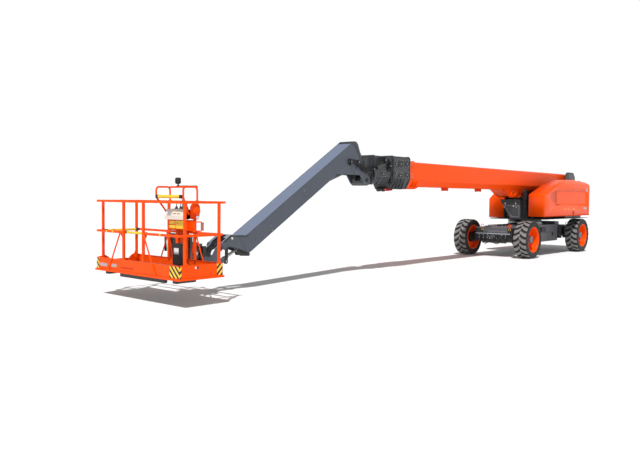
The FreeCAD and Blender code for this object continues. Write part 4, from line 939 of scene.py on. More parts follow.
def boom_trim():
    b = Mesh("boom_base_trim", "boom_base")
    # raised pads with bolts on the front ring's sides
    for s in (-1, 1):
        y0, y1 = sorted((s * 322, s * 334))
        for z0, z1 in ((2640, 2745), (2330, 2450)):
            b.box(7372, 7496, y0, y1, z0, z1, ORANGE)
            for x in (7392, 7476):
                for z in (z0 + 20, z1 - 20):
                    b.bolt(P(x, s * 334, z), (0, s, 0), 0.016, ZINC)
        # corner ears over the ring
        b.prism("yz", 7300, 7392, [(s * 300, 2740), (s * 322, 2700), (s * 322, 2762), (s * 250, 2762), (s * 250, 2740)], ORANGE)
        # lower flange plates behind the ring
        b.prism("xz", s * 205 - 6, s * 205 + 6, [(6930, 2122), (7498, 2122), (7498, 2046), (7120, 2052), (6990, 2084)], ORANGE)
        b.prism("yz", 7130, 7144, [(s * 300, 2262), (s * 318, 2262), (s * 318, 2200), (s * 212, 2078), (s * 205, 2078), (s * 205, 2122)], ORANGE)
        b.prism("yz", 7280, 7294, [(s * 300, 2262), (s * 318, 2262), (s * 318, 2200), (s * 212, 2078), (s * 205, 2078), (s * 205, 2122)], ORANGE)
        # long weld line where the side meets the folded bottom
        b.pipe([P(-3140, s * 300.5, 2262), P(7385, s * 300.5, 2262)], 0.0035, ORANGE, n=6)
        # the lower bead in the darker orange: painted shade along the bottom edge
        b.pipe([P(-3140, s * 200, 2119.5), P(7070, s * 200, 2119.5)], 0.0030, DEEP_ORANGE_AND_PAINTED_SHADE, n=6)
        # doubler plates round the luff boss and the cylinder bracket
        b.prism("xz", s * 301, s * 307, [(-3120, 2330), (-2700, 2290), (-2350, 2400), (-2350, 2600), (-2700, 2715), (-3120, 2690)], ORANGE)
        b.prism("xz", s * 301, s * 305, [(700, 2268), (2300, 2268), (2150, 2380), (850, 2380)], ORANGE)
    # brackets that hang under the boom, in the darker orange as painted shade
    for x0, x1 in ((5200, 5320), (3270, 3390)):
        b.prism("xz", -64, 64, [(x0 - 10, 2119), (x1 + 10, 2119), (x1 - 6, 2036), (x0, 2036)], DEEP_ORANGE_AND_PAINTED_SHADE)
        b.prism("xz", -74, -64, [(x0 - 16, 2119), (x1 + 16, 2119), (x1 + 4, 2030), (x0 - 4, 2030)], DEEP_ORANGE_AND_PAINTED_SHADE)
        b.prism("xz", 64, 74, [(x0 - 16, 2119), (x1 + 16, 2119), (x1 + 4, 2030), (x0 - 4, 2030)], DEEP_ORANGE_AND_PAINTED_SHADE)
    # wide outer plates on both cheeks
    for s in (-1, 1):
        pl = [(560, 2119), (1960, 2119), (1660, 1890), (1590, 1868), (930, 1868), (800, 1900)]
        b.prism("xz", *sorted((s * 198, s * 204)), pl, ORANGE)
    # closing plate in front of the cylinder's eye, and stiffeners under the boom; the stiffener in the darker orange is
    # painted shade
    b.prism("xz", -197, 197, [(2118, 2119), (2106, 2119), (1652, 1926), (1646, 1916), (1664, 1914)], ORANGE)
    b.prism("xz", -165, 165, [(1084, 2119), (1096, 2119), (1096, 2070), (1084, 2070)], DEEP_ORANGE_AND_PAINTED_SHADE)
    # cheeks for the lift cylinder: boss, gusset, pin keeper and side flange
    for s in (-1, 1):
        c = P(1460, s * 197, 2000)
        b.lathe(c, (0, s, 0), [(0.066, 0.0), (0.118, 0.0), (0.124, 0.004), (0.124, 0.034), (0.112, 0.044), (0.070, 0.044), (0.066, 0.040)], ORANGE, n=36)
        b.box(1425, 1495, *sorted((s * 228, s * 236)), 2040, 2062, ZINC)
        b.bolt(P(1480, s * 236, 2051), (0, s, 0), 0.014, ZINC, washer=False)
        b.prism("xz", *sorted((s * 197, s * 240)), [(900, 2119), (960, 2119), (1330, 1935), (1318, 1905)], ORANGE)
        b.prism("xz", *sorted((s * 197, s * 236)), [(2060, 2119), (2118, 2119), (1640, 1890), (1600, 1905)], ORANGE)
        b.prism("xz", *sorted((s * 165, s * 197)), [(560, 2119), (1082, 2119), (1082, 2040)], ORANGE)
    # top: cable guide rails and bolted cross pieces
    b.box(-2900, 7200, -40, -34, 2740, 2756, ORANGE)
    b.box(-2900, 7200, 34, 40, 2740, 2756, ORANGE)
    for x in range(-2700, 7200, 900):
        b.box(x, x + 40, -62, 62, 2740, 2746, ORANGE)
        b.bolt(P(x + 20, 52, 2746), (0, 0, 1), 0.012, ZINC)
        b.bolt(P(x + 20, -52, 2746), (0, 0, 1), 0.012, ZINC)
    # rear end: cover plate with bolts
    b.prism("yz", -3158, -3150, [(-270, 2300), (270, 2300), (270, 2700), (-270, 2700)], DARK)
    for y in (-250, -125, 0, 125, 250):
        for z in (2320, 2680):
            b.bolt(P(-3158, y, z), (-1, 0, 0), 0.018, ZINC)
    for z in (2440, 2560):
        for y in (-250, 250):
            b.bolt(P(-3158, y, z), (-1, 0, 0), 0.018, ZINC)
    b.done(bevel=0.003, segs=1, slot="orange_paint")

    # hoses in the guide along the top of the base section, clipped at each cross piece
    h = Mesh("boom_hoses", "boom_base")
    for i, y in enumerate((-21, -7, 7, 21)):
        h.curve([P(-3080, y, 2752), P(-2200, y + 1.5, 2752), P(-300, y - 1, 2752), P(1800, y + 1, 2752), P(4200, y - 1.5, 2752), P(6300, y + 1, 2752), P(7180, y, 2752)], 0.0062, HOSE, n=8)
    for x in range(-2700, 7200, 900):
        h.box(x + 6, x + 34, -32, 32, 2757.5, 2761, BLACK)
    h.done(smooth=50)

    # collars of sections 2 and 3: pad housings with screws, ribs, edge flanges
    def collar(name, body, x0, x1, half, top, sidez, bot, flat, pads, ribs):
        m = Mesh(name, body)
        # thick front and rear flanges
        for x in (x0 + 2, x1 - 30):
            t = 13
            out = [(-flat - 4, bot - t), (flat + 4, bot - t), (half + t, sidez - 6), (half + t, top - 40), (half - 34, top + t), (-half + 34, top + t), (-half - t, top - 40), (-half - t, sidez - 6)]
            inn = [(-flat, bot + 1), (flat, bot + 1), (half - 1, sidez), (half - 1, top - 38), (half - 36, top - 1), (-half + 36, top - 1), (-half + 1, top - 38), (-half + 1, sidez)]
            n = len(out)
            vs = [P(a, u, w) for a in (x, x + 28) for u, w in out] + [P(a, u, w) for a in (x, x + 28) for u, w in inn]
            fs = []
            for i in range(n):
                j = (i + 1) % n
                fs += [(i, j, n + j, n + i), (i, 2 * n + i, 2 * n + j, j), (n + i, n + j, 3 * n + j, 3 * n + i), (2 * n + i, 3 * n + i, 3 * n + j, 2 * n + j)]
            m.add(vs, fs, COLLAR)
        for s in (-1, 1):
            for (a, b_, z0, z1, th) in pads:
                y0, y1 = sorted((s * (half - 1), s * (half + th)))
                m.box(a, b_, y0, y1, z0, z1, COLLAR)
                m.box(a + 18, b_ - 18, *sorted((s * (half + th), s * (half + th + 6))), z0 + 18, z1 - 18, BLACK)
                for x in (a + 11, b_ - 11):
                    for z in (z0 + 11, z1 - 11):
                        m.bolt(P(x, s * (half + th), z), (0, s, 0), 0.013, ZINC)
                if b_ - a > 150:
                    for z in (z0 + 11, z1 - 11):
                        m.bolt(P((a + b_) / 2, s * (half + th), z), (0, s, 0), 0.013, ZINC)
                m.tube(P((a + b_) / 2, s * (half + th + 5), (z0 + z1) / 2), P((a + b_) / 2, s * (half + th + 12), (z0 + z1) / 2), 0.014, ZINC, 14)
            for x in ribs:
                # curved rib round the lower corner
                m.prism("yz", x, x + 14, [(s * (half - 2), sidez + 66), (s * (half + 22), sidez + 40), (s * (half + 26), sidez - 20), (s * (flat + 60), bot - 22), (s * (flat - 30), bot - 26), (s * (flat - 30), bot + 1), (s * flat, bot + 1), (s * (half - 2), sidez)], COLLAR)
        for a in (x0 + 70, (x0 + x1) / 2 - 40, x1 - 170):
            for y in (-150, 60):
                m.box(a, a + 90, y, y + 90, top - 1, top + 10, COLLAR)
                m.bolt(P(a + 20, y + 20, top + 10), (0, 0, 1), 0.014, ZINC)
                m.bolt(P(a + 70, y + 70, top + 10), (0, 0, 1), 0.014, ZINC)
        m.done(bevel=0.003, segs=1)

    collar("collar_2_trim", "boom_section_2", 7518, 8242, 330, 2850, 2262, 2062, 214,
           [(7600, 7740, 2600, 2760, 12), (7600, 7740, 2330, 2480, 12), (7850, 8040, 2560, 2770, 16), (7850, 8040, 2310, 2450, 12), (8085, 8190, 2600, 2740, 12), (8085, 8190, 2380, 2480, 12)],
           (7770, 7900, 8030, 8160))
    collar("collar_3_trim", "boom_section_3", 8260, 8950, 290, 2830, 2262, 2172, 200,
           [(8330, 8450, 2580, 2740, 12), (8500, 8720, 2600, 2770, 20), (8520, 8700, 2330, 2470, 12), (8770, 8890, 2560, 2720, 12)],
           (8420, 8600, 8780))

    # hoses that arch over the third collar's left side, held in a saddle
    c = Mesh("collar_3_hoses", "boom_section_3")
    for i in range(5):
        k = i * 27
        y = 322 + (i % 2) * 30
        c.curve([P(8945 - k * 0.2, y, 2545 - k * 0.5), P(8925 - k * 0.5, y, 2640 - k * 0.7), P(8860 - k * 0.6, y, 2728 - k * 0.85), P(8740, y, 2782 - k), P(8560, y, 2790 - k), P(8420 + k * 0.7, y, 2750 - k * 0.8), P(8352 + k * 0.9, y, 2650 - k * 0.3), P(8340 + k * 0.9, y, 2540), P(8345 + k * 0.9, 296, 2460)], 0.0175 if i % 2 == 0 else 0.013, HOSE, n=12, seg=6)
    for x0, x1, z0, z1 in ((8600, 8640, 2655, 2812), (8330, 8480, 2585, 2612)):
        c.box(x0, x1, 288, 378, z0, z1, BLACK)
        c.bolt(P((x0 + x1) / 2, 378, (z0 + z1) / 2), (0, 1, 0), 0.018, ZINC)
    c.prism("xz", 288, 296, [(8400, 2480), (8400, 2660), (8470, 2720), (8780, 2720), (8850, 2650), (8850, 2560), (8700, 2480)], DARK)
    for x, z in ((8430, 2500), (8430, 2640), (8500, 2700), (8640, 2700), (8760, 2700), (8820, 2600)):
        c.bolt(P(x, 296, z), (0, 1, 0), 0.018, ZINC)
    c.done(bevel=0.003, segs=1, smooth=50)

    # rollers and red bracket under collar 2
    r = Mesh("collar_roller", "boom_section_2")
    for s in (-1, 1):
        r.prism("xz", s * 120 - 8, s * 120 + 8, [(7900, 2066), (8240, 2066), (8330, 2052), (8330, 2010), (8240, 1990), (8020, 2004)], REDPART)
    r.lathe(P(8300, 0, 2034), (0, 1, 0), [(0, -0.112), (0.052, -0.112), (0.058, -0.100), (0.058, -0.040), (0.050, -0.034), (0.050, 0.034), (0.058, 0.040), (0.058, 0.100), (0.052, 0.112), (0, 0.112)], BLACK, n=32)
    r.tube(P(8300, -140, 2034), P(8300, 140, 2034), 0.018, ZINC, 16)
    r.box(7960, 8200, -112, 112, 2048, 2060, REDPART)
    r.done(bevel=0.003, segs=1)

    # boom head: bolted pads on top
    h = Mesh("boom_head_trim", "boom_section_4")
    lo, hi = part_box("boom_head")
    ztop = hi[2] * 1000
    for y in (-160, 60):
        h.box(8995, 9095, y, y + 100, ztop - 1, ztop + 9, COLLAR)
        for dx, dy in ((15, 15), (85, 85), (15, 85), (85, 15)):
            h.bolt(P(8995 + dx, y + dy, ztop + 9), (0, 0, 1), 0.013, ZINC)
    h.done(bevel=0.002, segs=1)


boom_trim()


def slew_trim():
    # lift cylinder: barrel, eye and a ring of bolts at the gland
    lo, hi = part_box("lift_cylinder_barrel")
    a = P(-1900, 0, 1390)
    e = P(1460, 0, 2000)
    d = (e - a).normalized()
    m = Mesh("lift_cylinder_trim", "lift_cylinder_barrel", replaces=("lift_cylinder_barrel",))
    L = (e - a).length
    full = LIFT_LEN
    n = Vector((0, 1, 0)).cross(d).normalized()
    if n.z < 0:
        n = -n
    m.lathe(a, d, [(0.0865, 0.10), (0.136, 0.112), (0.140, 0.125), (0.140, full - 0.10), (0.1395, full - 0.098), (0.1395, full - 0.012), (0.136, full), (0.0856, full), (0.0856, full - 0.25)], DARK, n=48)
    m.lathe(a, (0, 1, 0), [(0.0508, -0.150), (0.112, -0.150), (0.118, -0.144), (0.118, 0.144), (0.112, 0.150), (0.0508, 0.150), (0.0508, -0.150)], DARK, n=40)
    m.tube(a + d * 0.02, a + d * 0.16, 0.105, DARK, 32, r1=0.128)
    for k in range(10):
        t = 2 * math.pi * k / 10
        q = a + d * full + (n * math.cos(t) + Vector((0, 1, 0)) * math.sin(t)) * 0.112
        m.bolt(q, d, 0.016, ZINC, washer=False)
    m.done(smooth=40)


def cyl_len(node, p0, d):
    """How far a barrel reaches from its pin along d."""
    o = NODES[node]
    return max((Vector(v.co) - p0).dot(d) for v in o.data.vertices)


LIFT_LEN = cyl_len("lift_cylinder_barrel", P(-1900, 0, 1390), (P(1460, 0, 2000) - P(-1900, 0, 1390)).normalized())
slew_trim()


def ram_trim(name, body, rod_body, a, e, rb, rr, pin, half, tone, rodtone, port=0.0):
    """Barrel with gland rings and eye; the chromed rod keeps its own solid."""
    d = (e - a).normalized()
    full = cyl_len(name + "_barrel", a, d)
    m = Mesh(name + "_trim", body, replaces=(name + "_barrel",))
    m.lathe(a, d, [(rb * 0.6, rb * 0.5), (rb * 0.97, rb * 0.75), (rb, rb * 0.85), (rb, full - rb * 1.1), (rb * 1.0, full - rb * 1.1), (rb * 0.985, full - rb * 0.1), (rb * 0.93, full), (rr + 0.0007, full), (rr + 0.0007, full - rb)], tone, n=36)
    m.lathe(a, (0, 1, 0), [(pin + 0.0006, -half), (rb * 0.80, -half), (rb * 0.85, -half + 0.004), (rb * 0.85, half - 0.004), (rb * 0.80, half), (pin + 0.0006, half), (pin + 0.0006, -half)], tone, n=32)
    for s0 in (full - rb * 1.2, full - rb * 0.35):
        m.lathe(a, d, [(rb * 0.99, s0), (rb * 1.0, s0 + 0.001), (rb * 1.0, s0 + 0.006), (rb * 0.99, s0 + 0.007)], ZINC, n=36)
    m.done(smooth=40)


ram_trim("jib_cylinder", "jib_cylinder_barrel", "jib_cylinder_rod", P(11300, 0, 1920), P(9115, 0, 2650), 0.072, 0.036, 0.032, 0.060, DARK, CHROME)
ram_trim("levelling_cylinder", "levelling_cylinder_barrel", "levelling_cylinder_rod", P(12300, 0, 1190), P(13450, 0, 585), 0.056, 0.030, 0.028, 0.050, BRIGHT, CHROME)


# ------------------------------------------------------------------ jib
def jib_trim():
    lo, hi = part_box("jib")
    m = Mesh("jib_trim", "jib")
    # rolled edge plate over the upper rear end, slightly proud of the box
    for s in (-1, 1):
        y0, y1 = sorted((s * 200, s * 207))
        m.prism("xz", y0, y1, [(9344, 2700), (9386, 2836), (9556, 3052), (9632, 3106), (9668, 3100), (9700, 3080), (9726, 3060), (9668, 3040), (9612, 3004), (9454, 2790), (9400, 2690)], DARK)
        m.prism("xz", y0, y1, [(9340, 2345), (9332, 2500), (9344, 2700), (9400, 2690), (9384, 2500), (9396, 2345)], DARK)
        # seam lines: plates lapped on the side near the head
        m.prism("xz", *sorted((s * 200, s * 206)), [(9420, 2352), (10220, 2352), (10060, 2440), (9560, 2680), (9440, 2690)], JIB)
        m.prism("xz", *sorted((s * 200, s * 204)), [(9960, 2348), (10225, 2348), (10300, 2302), (10310, 2308), (9620, 2760), (9600, 2744)], JIB)
        # small black hose bracket on the side
        m.box(9780, 9850, *sorted((s * 204, s * 222)), 2600, 2690, BLACK)
        m.bolt(P(9800, s * 222, 2645), (0, s, 0), 0.014, ZINC)
        m.bolt(P(9832, s * 222, 2645), (0, s, 0), 0.014, ZINC)
        # lower fork: doubler, boss, pin keeper, round cover
        m.lathe(P(13560, s * 200, 885), (0, s, 0), [(0.037, -0.002), (0.060, -0.002), (0.062, 0.002), (0.062, 0.021), (0.056, 0.025), (0.037, 0.025)], JIB, n=32)
        m.lathe(P(12300, s * 200, 1190), (0, s, 0), [(0.0, 0.010), (0.028, 0.010), (0.030, 0.006), (0.055, 0.006), (0.058, 0.0), (0.058, -0.002)], JIB, n=28)
        m.lathe(P(11300, s * 200, 1920), (0, s, 0), [(0.0, 0.012), (0.032, 0.012), (0.034, 0.007), (0.062, 0.007), (0.066, 0.0), (0.066, -0.002)], JIB, n=28)
        for dx, dz in ((-26, -44), (34, -30)):
            m.bolt(P(12300 + dx, s * 206, 1190 + dz), (0, s, 0), 0.012, ZINC)
            m.bolt(P(11300 + dx, s * 207, 1920 + dz), (0, s, 0), 0.012, ZINC)
        # brass-coloured end cap near the lower end
        m.lathe(P(13350, s * 200, 1020), (0, s, 0), [(0.0, 0.012), (0.020, 0.012), (0.024, 0.006), (0.024, -0.002)], BEIGE, n=20)
        # edge welds
        m.pipe([P(9700, s * 199, 3092), P(12985, s * 199, 1066)], 0.0045, JIB, n=6)
        m.pipe([P(10235, s * 199, 2344), P(12900, s * 199, 724)], 0.0045, JIB, n=6)
    # lip across the crest
    m.prism("xz", -207, 207, [(9660, 3108), (9664, 3116), (9756, 3060), (9752, 3052)], DARK)
    # kinked cover plate at the foot: hooked bracket that carries the levelling cylinder's lower hoses
    for s in (-1, 1):
        if s > 0:
            m.prism("xz", 150, 162, [(12905, 722), (12840, 700), (12868, 655), (13090, 668), (13150, 706), (13196, 786), (13140, 800), (12960, 770)], BLACK)
        else:
            m.prism("xz", -162, -150, [(12905, 722), (12840, 700), (12868, 655), (12950, 668), (12985, 740), (12960, 770)], BLACK)
        # black strips along the cheeks' lower and upper edges: painted shade
        m.prism("xz", *sorted((s * 186, s * 208)), [(12905, 722), (13140, 800), (13420, 872), (13424, 861), (13144, 789), (12909, 711)], BLACK)
        m.prism("xz", *sorted((s * 186, s * 206)), [(12930, 1066), (12985, 1066), (13372, 1086), (13628, 927), (13618, 908), (13366, 1062), (12990, 1042), (12934, 1052)], BLACK)
        m.prism("xz", *sorted((s * 200, s * 204)), [(13170, 1074), (13186, 1075), (12990, 752), (12974, 747)], JIB)
    # pale strips on the top edges of the jib's foot: painted highlight
    for y0, y1 in ((152, 187), (-187, -152)):
        m.prism("xz", y0, y1, [(13232, 1078), (13372, 1083), (13606, 938), (13602, 930), (13370, 1074), (13232, 1070)], PALE_PAINTED_HIGHLIGHT)
    m.prism("xz", 64, 152, [(13232, 1078), (13372, 1083), (13455, 1031), (13451, 1023), (13370, 1074), (13232, 1070)], PALE_PAINTED_HIGHLIGHT)
    m.prism("xz", -187, 187, [(12985, 1066), (13236, 1078), (13236, 1070), (12986, 1058)], JIB)
    m.box(12868, 12960, -150, 150, 660, 672, BLACK)
    m.done(bevel=0.003, segs=2)



jib_trim()


def head_hoses():
    """Hoses from a clip on the boom's head to a clip on the jib's side."""
    for i in range(5):
        k = i * 22
        y = 262 + (i % 2) * 28
        m = Mesh("head_hose_%d" % (i + 1), None)
        m.curve([P(8985, y - 14, 2560 - k), P(9040, y, 2528 - k), P(9120, y + 6, 2500 - k * 0.95), P(9240, y + 8, 2510 - k * 0.9), P(9360, y + 2, 2556 - k * 0.8), P(9470, y - 12, 2610 - k * 0.7), P(9590, 246 + (i % 2) * 20, 2662 - k * 0.6), P(9700, 234 + (i % 2) * 14, 2682 - k * 0.5), P(9800, 224, 2676 - k * 0.4)], 0.0175 if i % 2 == 0 else 0.013, HOSE, n=12, seg=8)
        o = m.done(smooth=60)
        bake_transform(o)
    c = Mesh("head_clip", "boom_section_4")
    c.box(8976, 9004, 236, 312, 2436, 2584, BLACK)
    c.bolt(P(8990, 312, 2500), (0, 1, 0), 0.018, ZINC)
    c.done(bevel=0.003, segs=1)
    c = Mesh("jib_clip", "jib")
    c.prism("xz", 204, 262, [(9770, 2560), (9770, 2700), (9800, 2712), (9826, 2690), (9826, 2560)], BLACK)
    c.box(9540, 9566, 204, 286, 2590, 2690, BLACK)
    for x, y, z in ((9798, 262, 2640), (9553, 286, 2640)):
        c.bolt(P(x, y, z), (0, 1, 0), 0.018, ZINC)
    c.done(bevel=0.003, segs=1)


head_hoses()


def yoke_trim():
    """Hoses that run over the levelling pin, and the pin's and the lever's fittings."""
    for i, y in enumerate((-104, -84, -62, -40, 44, 66, 88, 107)):
        m = Mesh("yoke_hose_%d" % (i + 1), None)
        k = (i % 3) * 7
        m.curve([P(13180, y, 990 + k), P(13320, y, 1022 + k), P(13420, y, 1000 + k), P(13540, y, 942 + k), P(13660, y * 0.97, 876 + k), P(13760, y * 0.95, 816 + k), P(13860, y * 0.92, 790 + k * 0.6), P(13945, y * 0.9, 801)], 0.013 if i % 2 else 0.011, HOSE, n=12, seg=7)
        o = m.done(smooth=60)
        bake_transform(o)
    c = Mesh("yoke_fittings", "levelling_yoke")
    for s in (-1, 1):
        y0, y1 = sorted((s * 145, s * 152))
        c.lathe(P(13450, s * 145, 585), (0, s, 0), [(0.0, 0.014), (0.022, 0.014), (0.026, 0.010), (0.026, 0.006), (0.046, 0.006), (0.050, 0.0), (0.050, -0.002)], BLACK, n=28)
        c.lathe(P(13450, s * 159, 585), (0, s, 0), [(0.0, 0.003), (0.020, 0.003), (0.022, 0.0), (0.0, 0.0)], ZINC, n=20)
        c.prism("xz", y0, y1, [(13405, 640), (13405, 830), (13462, 830), (13462, 640)], BLACK)
        c.tube(P(13450, s * 50, 585), P(13450, s * 121, 585), 0.022, ZINC, 18)
    for y in (-60, 0, 60):
        c.bolt(P(13933, y, 860), (-1, 0, 0), 0.018, ZINC)
    c.box(13900, 13936, -110, 110, 776, 826, BLACK)
    c.box(13933, 13936, -147, 147, 702, 901, BLACK)
    for s in (-1, 1):
        c.box(13934, 14019, *sorted((s * 145.5, s * 147.5)), 702, 901, BLACK)
    c.done(bevel=0.003, segs=1)


yoke_trim()


def rod_end(name, body, a, e, r, s0, s1, mat):
    """Screwed rod end with a lock nut between the eye and the rod."""
    d = (a - e).normalized()
    m = Mesh(name, body)
    m.lathe(e, d, [(r * 0.60, s0), (r, s0 + 0.006), (r, s1 - 0.022), (r * 0.92, s1 - 0.020), (r * 0.92, s1 - 0.016), (r, s1 - 0.014), (r, s1 - 0.003), (r * 0.94, s1), (r * 0.5, s1)], mat, n=32)
    m.done(smooth=40)


rod_end("levelling_rod_end", "levelling_cylinder_rod", P(12300, 0, 1190), P(13450, 0, 585), 0.044, 0.030, 0.112, BRIGHT)

# ------------------------------------------------------------------ turntable: hood shells
def shell(name, body, node, profile, plane, a0, a1, cuts, drop, door, wall, radius, mat):
    """Convex solid from an outline, trimmed by planes, its edges rounded, then hollowed: a moulded cover with a door opening."""
    bm = bmesh.new()
    def put(u, w, a):
        return P(u, a, w) if plane == "xz" else P(a, u, w)
    r0 = [bm.verts.new(put(u, w, a0)) for u, w in profile]
    r1 = [bm.verts.new(put(u, w, a1)) for u, w in profile]
    n = len(profile)
    bm.faces.new(r0)
    bm.faces.new(r1[::-1])
    for i in range(n):
        j = (i + 1) % n
        bm.faces.new((r0[i], r0[j], r1[j], r1[i]))
    bmesh.ops.recalc_face_normals(bm, faces=bm.faces)
    for co, no in cuts:
        g = bm.verts[:] + bm.edges[:] + bm.faces[:]
        out = bmesh.ops.bisect_plane(bm, geom=g, plane_co=co, plane_no=no, clear_outer=True, dist=1e-6)
        edges = [e for e in out["geom_cut"] if isinstance(e, bmesh.types.BMEdge)]
        bmesh.ops.contextual_create(bm, geom=edges)
        bmesh.ops.recalc_face_normals(bm, faces=bm.faces)
    gone = [f for f in bm.faces if any(f.normal.dot(Vector(d)) > 0.99 for d in drop)]
    bmesh.ops.delete(bm, geom=gone, context="FACES_ONLY")
    sharp = [e for e in bm.edges if len(e.link_faces) == 2 and e.calc_face_angle(0) > math.radians(4)]
    big = [e for e in sharp if e.calc_face_angle(0) > math.radians(28)]
    small = [e for e in sharp if e not in big]
    bmesh.ops.bevel(bm, geom=big, offset=radius, segments=5, profile=0.5, affect="EDGES", clamp_overlap=True)
    # door opening in the widest flat face of that side
    dy, x0, x1, z0, z1 = door
    side = max((f for f in bm.faces if f.normal.dot(Vector((0, dy, 0))) > 0.99), key=lambda f: f.calc_area())
    loop = [v for v in side.verts]
    y = loop[0].co.y
    r = 0.030
    hole = []
    for cx, cz, t0 in ((x1 / 1000 + OX - r, z1 / 1000 - r, 0), (x0 / 1000 + OX + r, z1 / 1000 - r, 90), (x0 / 1000 + OX + r, z0 / 1000 + r, 180), (x1 / 1000 + OX - r, z0 / 1000 + r, 270)):
        for k in range(5):
            t = math.radians(t0 + k * 22.5)
            hole.append(Vector((cx + r * math.cos(t), y, cz + r * math.sin(t))))
    from mathutils.geometry import tessellate_polygon
    tris = tessellate_polygon([[v.co.copy() for v in loop], hole])
    bmesh.ops.delete(bm, geom=[side], context="FACES_ONLY")
    allv = loop + [bm.verts.new(h) for h in hole]
    for t in tris:
        try:
            bm.faces.new([allv[i] for i in t])
        except ValueError:
            pass
    bmesh.ops.recalc_face_normals(bm, faces=bm.faces)
    me = bpy.data.meshes.new(name)
    # normals point out of the shell
    wall_face = max((f for f in bm.faces if abs(f.normal.y) > 0.99 and f.calc_center_median().y * dy > 1.2), key=lambda f: f.calc_area())
    if wall_face.normal.y * dy < 0:
        bmesh.ops.reverse_faces(bm, faces=bm.faces)
    bm.to_mesh(me)
    bm.free()
    me.materials.append(mat)
    me.polygons.foreach_set("use_smooth", [True] * len(me.polygons))
    me.set_sharp_from_angle(angle=math.radians(24))
    o = bpy.data.objects.new(name, me)
    bpy.context.scene.collection.objects.link(o)
    s = o.modifiers.new("wall", "SOLIDIFY")
    s.thickness = wall
    s.offset = -1
    s.use_even_offset = True
    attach(o, body)
    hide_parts(node)
    return o


def _pl(y0, z0, y1, z1):
    """Plane through two (y, z) points, looking away from the machine's middle."""
    d = Vector((0, y1 - y0, z1 - z0))
    n = Vector((0, -d.z, d.y))
    if n.z < 0:
        n = -n
    return P(0, y0, z0), n.normalized()


shell("hood_left_shell", "turntable", "hood_left",
      [(1320, 1270), (1320, 1970), (380, 2275), (-560, 2475), (-1500, 2505), (-2480, 2445), (-2600, 2300), (-2600, 1270)],
      "xz", 720, 1240, [_pl(1240, 2350, 1000, 2506)], [(0, 0, -1), (0, -1, 0)], (1, -2186, 396, 1664, 2102), 0.008, 0.062, SHELL)
shell("hood_right_shell", "turntable", "hood_right",
      [(-1240, 1190), (-1240, 1828), (-1010, 2060), (-650, 2196), (-650, 1190)],
      "yz", -2600, 210, [], [(0, 0, -1), (0, 1, 0)], (-1, -2186, -54, 1294, 1786), 0.008, 0.040, SHELL)


def rounded(m, x0, x1, z0, z1, y0, y1, r, mat):
    pts = []
    for cx, cz, t0 in ((x1 - r, z1 - r, 0), (x0 + r, z1 - r, 90), (x0 + r, z0 + r, 180), (x1 - r, z0 + r, 270)):
        for k in range(6):
            t = math.radians(t0 + k * 18)
            pts.append((cx + r * math.cos(t), cz + r * math.sin(t)))
    m.prism("xz", y0, y1, pts, mat)


def hood_doors():
    # left: plain pressed door with stiffeners and hinge straps inside
    m = Mesh("hood_door_left_panel", "hood_door_left", replaces=("hood_door_left",))
    rounded(m, -2180, 390, 1670, 2090, 1230, 1239.6, 26, SHELL)
    for z in (1730, 1970):
        m.box(-2060, 270, 1216, 1231, z, z + 30, SHELL)
    for x in (-1900, -900, 100):
        m.box(x, x + 60, 1212, 1231, 1990, 2084, BLACK)
    # turn latches: recessed cup with a black handle
    for x in (-1750, -60):
        m.lathe(P(x, 1239.4, 1722), (0, 1, 0), [(0.0, -0.004), (0.020, -0.004), (0.024, 0.0006), (0.028, 0.0016), (0.030, 0.0)], SHELL, n=24, mats=[BLACK, BLACK, SHELL, SHELL])
    m.done(bevel=0.0015, segs=1, slot="hood_shell")
    m = Mesh("hood_door_right_panel", "hood_door_right", replaces=("hood_door_right",))
    rounded(m, -2180, -60, 1300, 1780, -1239.6, -1230, 26, SHELL)
    for z in (1360, 1660):
        m.box(-2060, -180, -1231, -1216, z, z + 30, SHELL)
    for x in (-1900, -1100, -300):
        m.box(x, x + 60, -1231, -1212, 1690, 1774, BLACK)
    # louvres over the engine, with black strips between them as painted shade of the slots
    for k in range(9):
        z = 1420 + k * 30
        m.prism("yz", -1500, -760, [(-1239.6, z), (-1239.6, z + 5), (-1243.4, z + 3), (-1243, z - 14), (-1242, z - 16), (-1240, z - 10)], SHELL)
        m.box(-1494, -766, -1240.2, -1239.4, z - 20, z - 2, BLACK)
    for x in (-1900, -330):
        m.lathe(P(x, -1239.4, 1352), (0, -1, 0), [(0.0, -0.004), (0.020, -0.004), (0.024, 0.0006), (0.028, 0.0016), (0.030, 0.0)], SHELL, n=24, mats=[BLACK, BLACK, SHELL, SHELL])
    m.done(bevel=0.0012, segs=1, slot="hood_shell")


hood_doors()


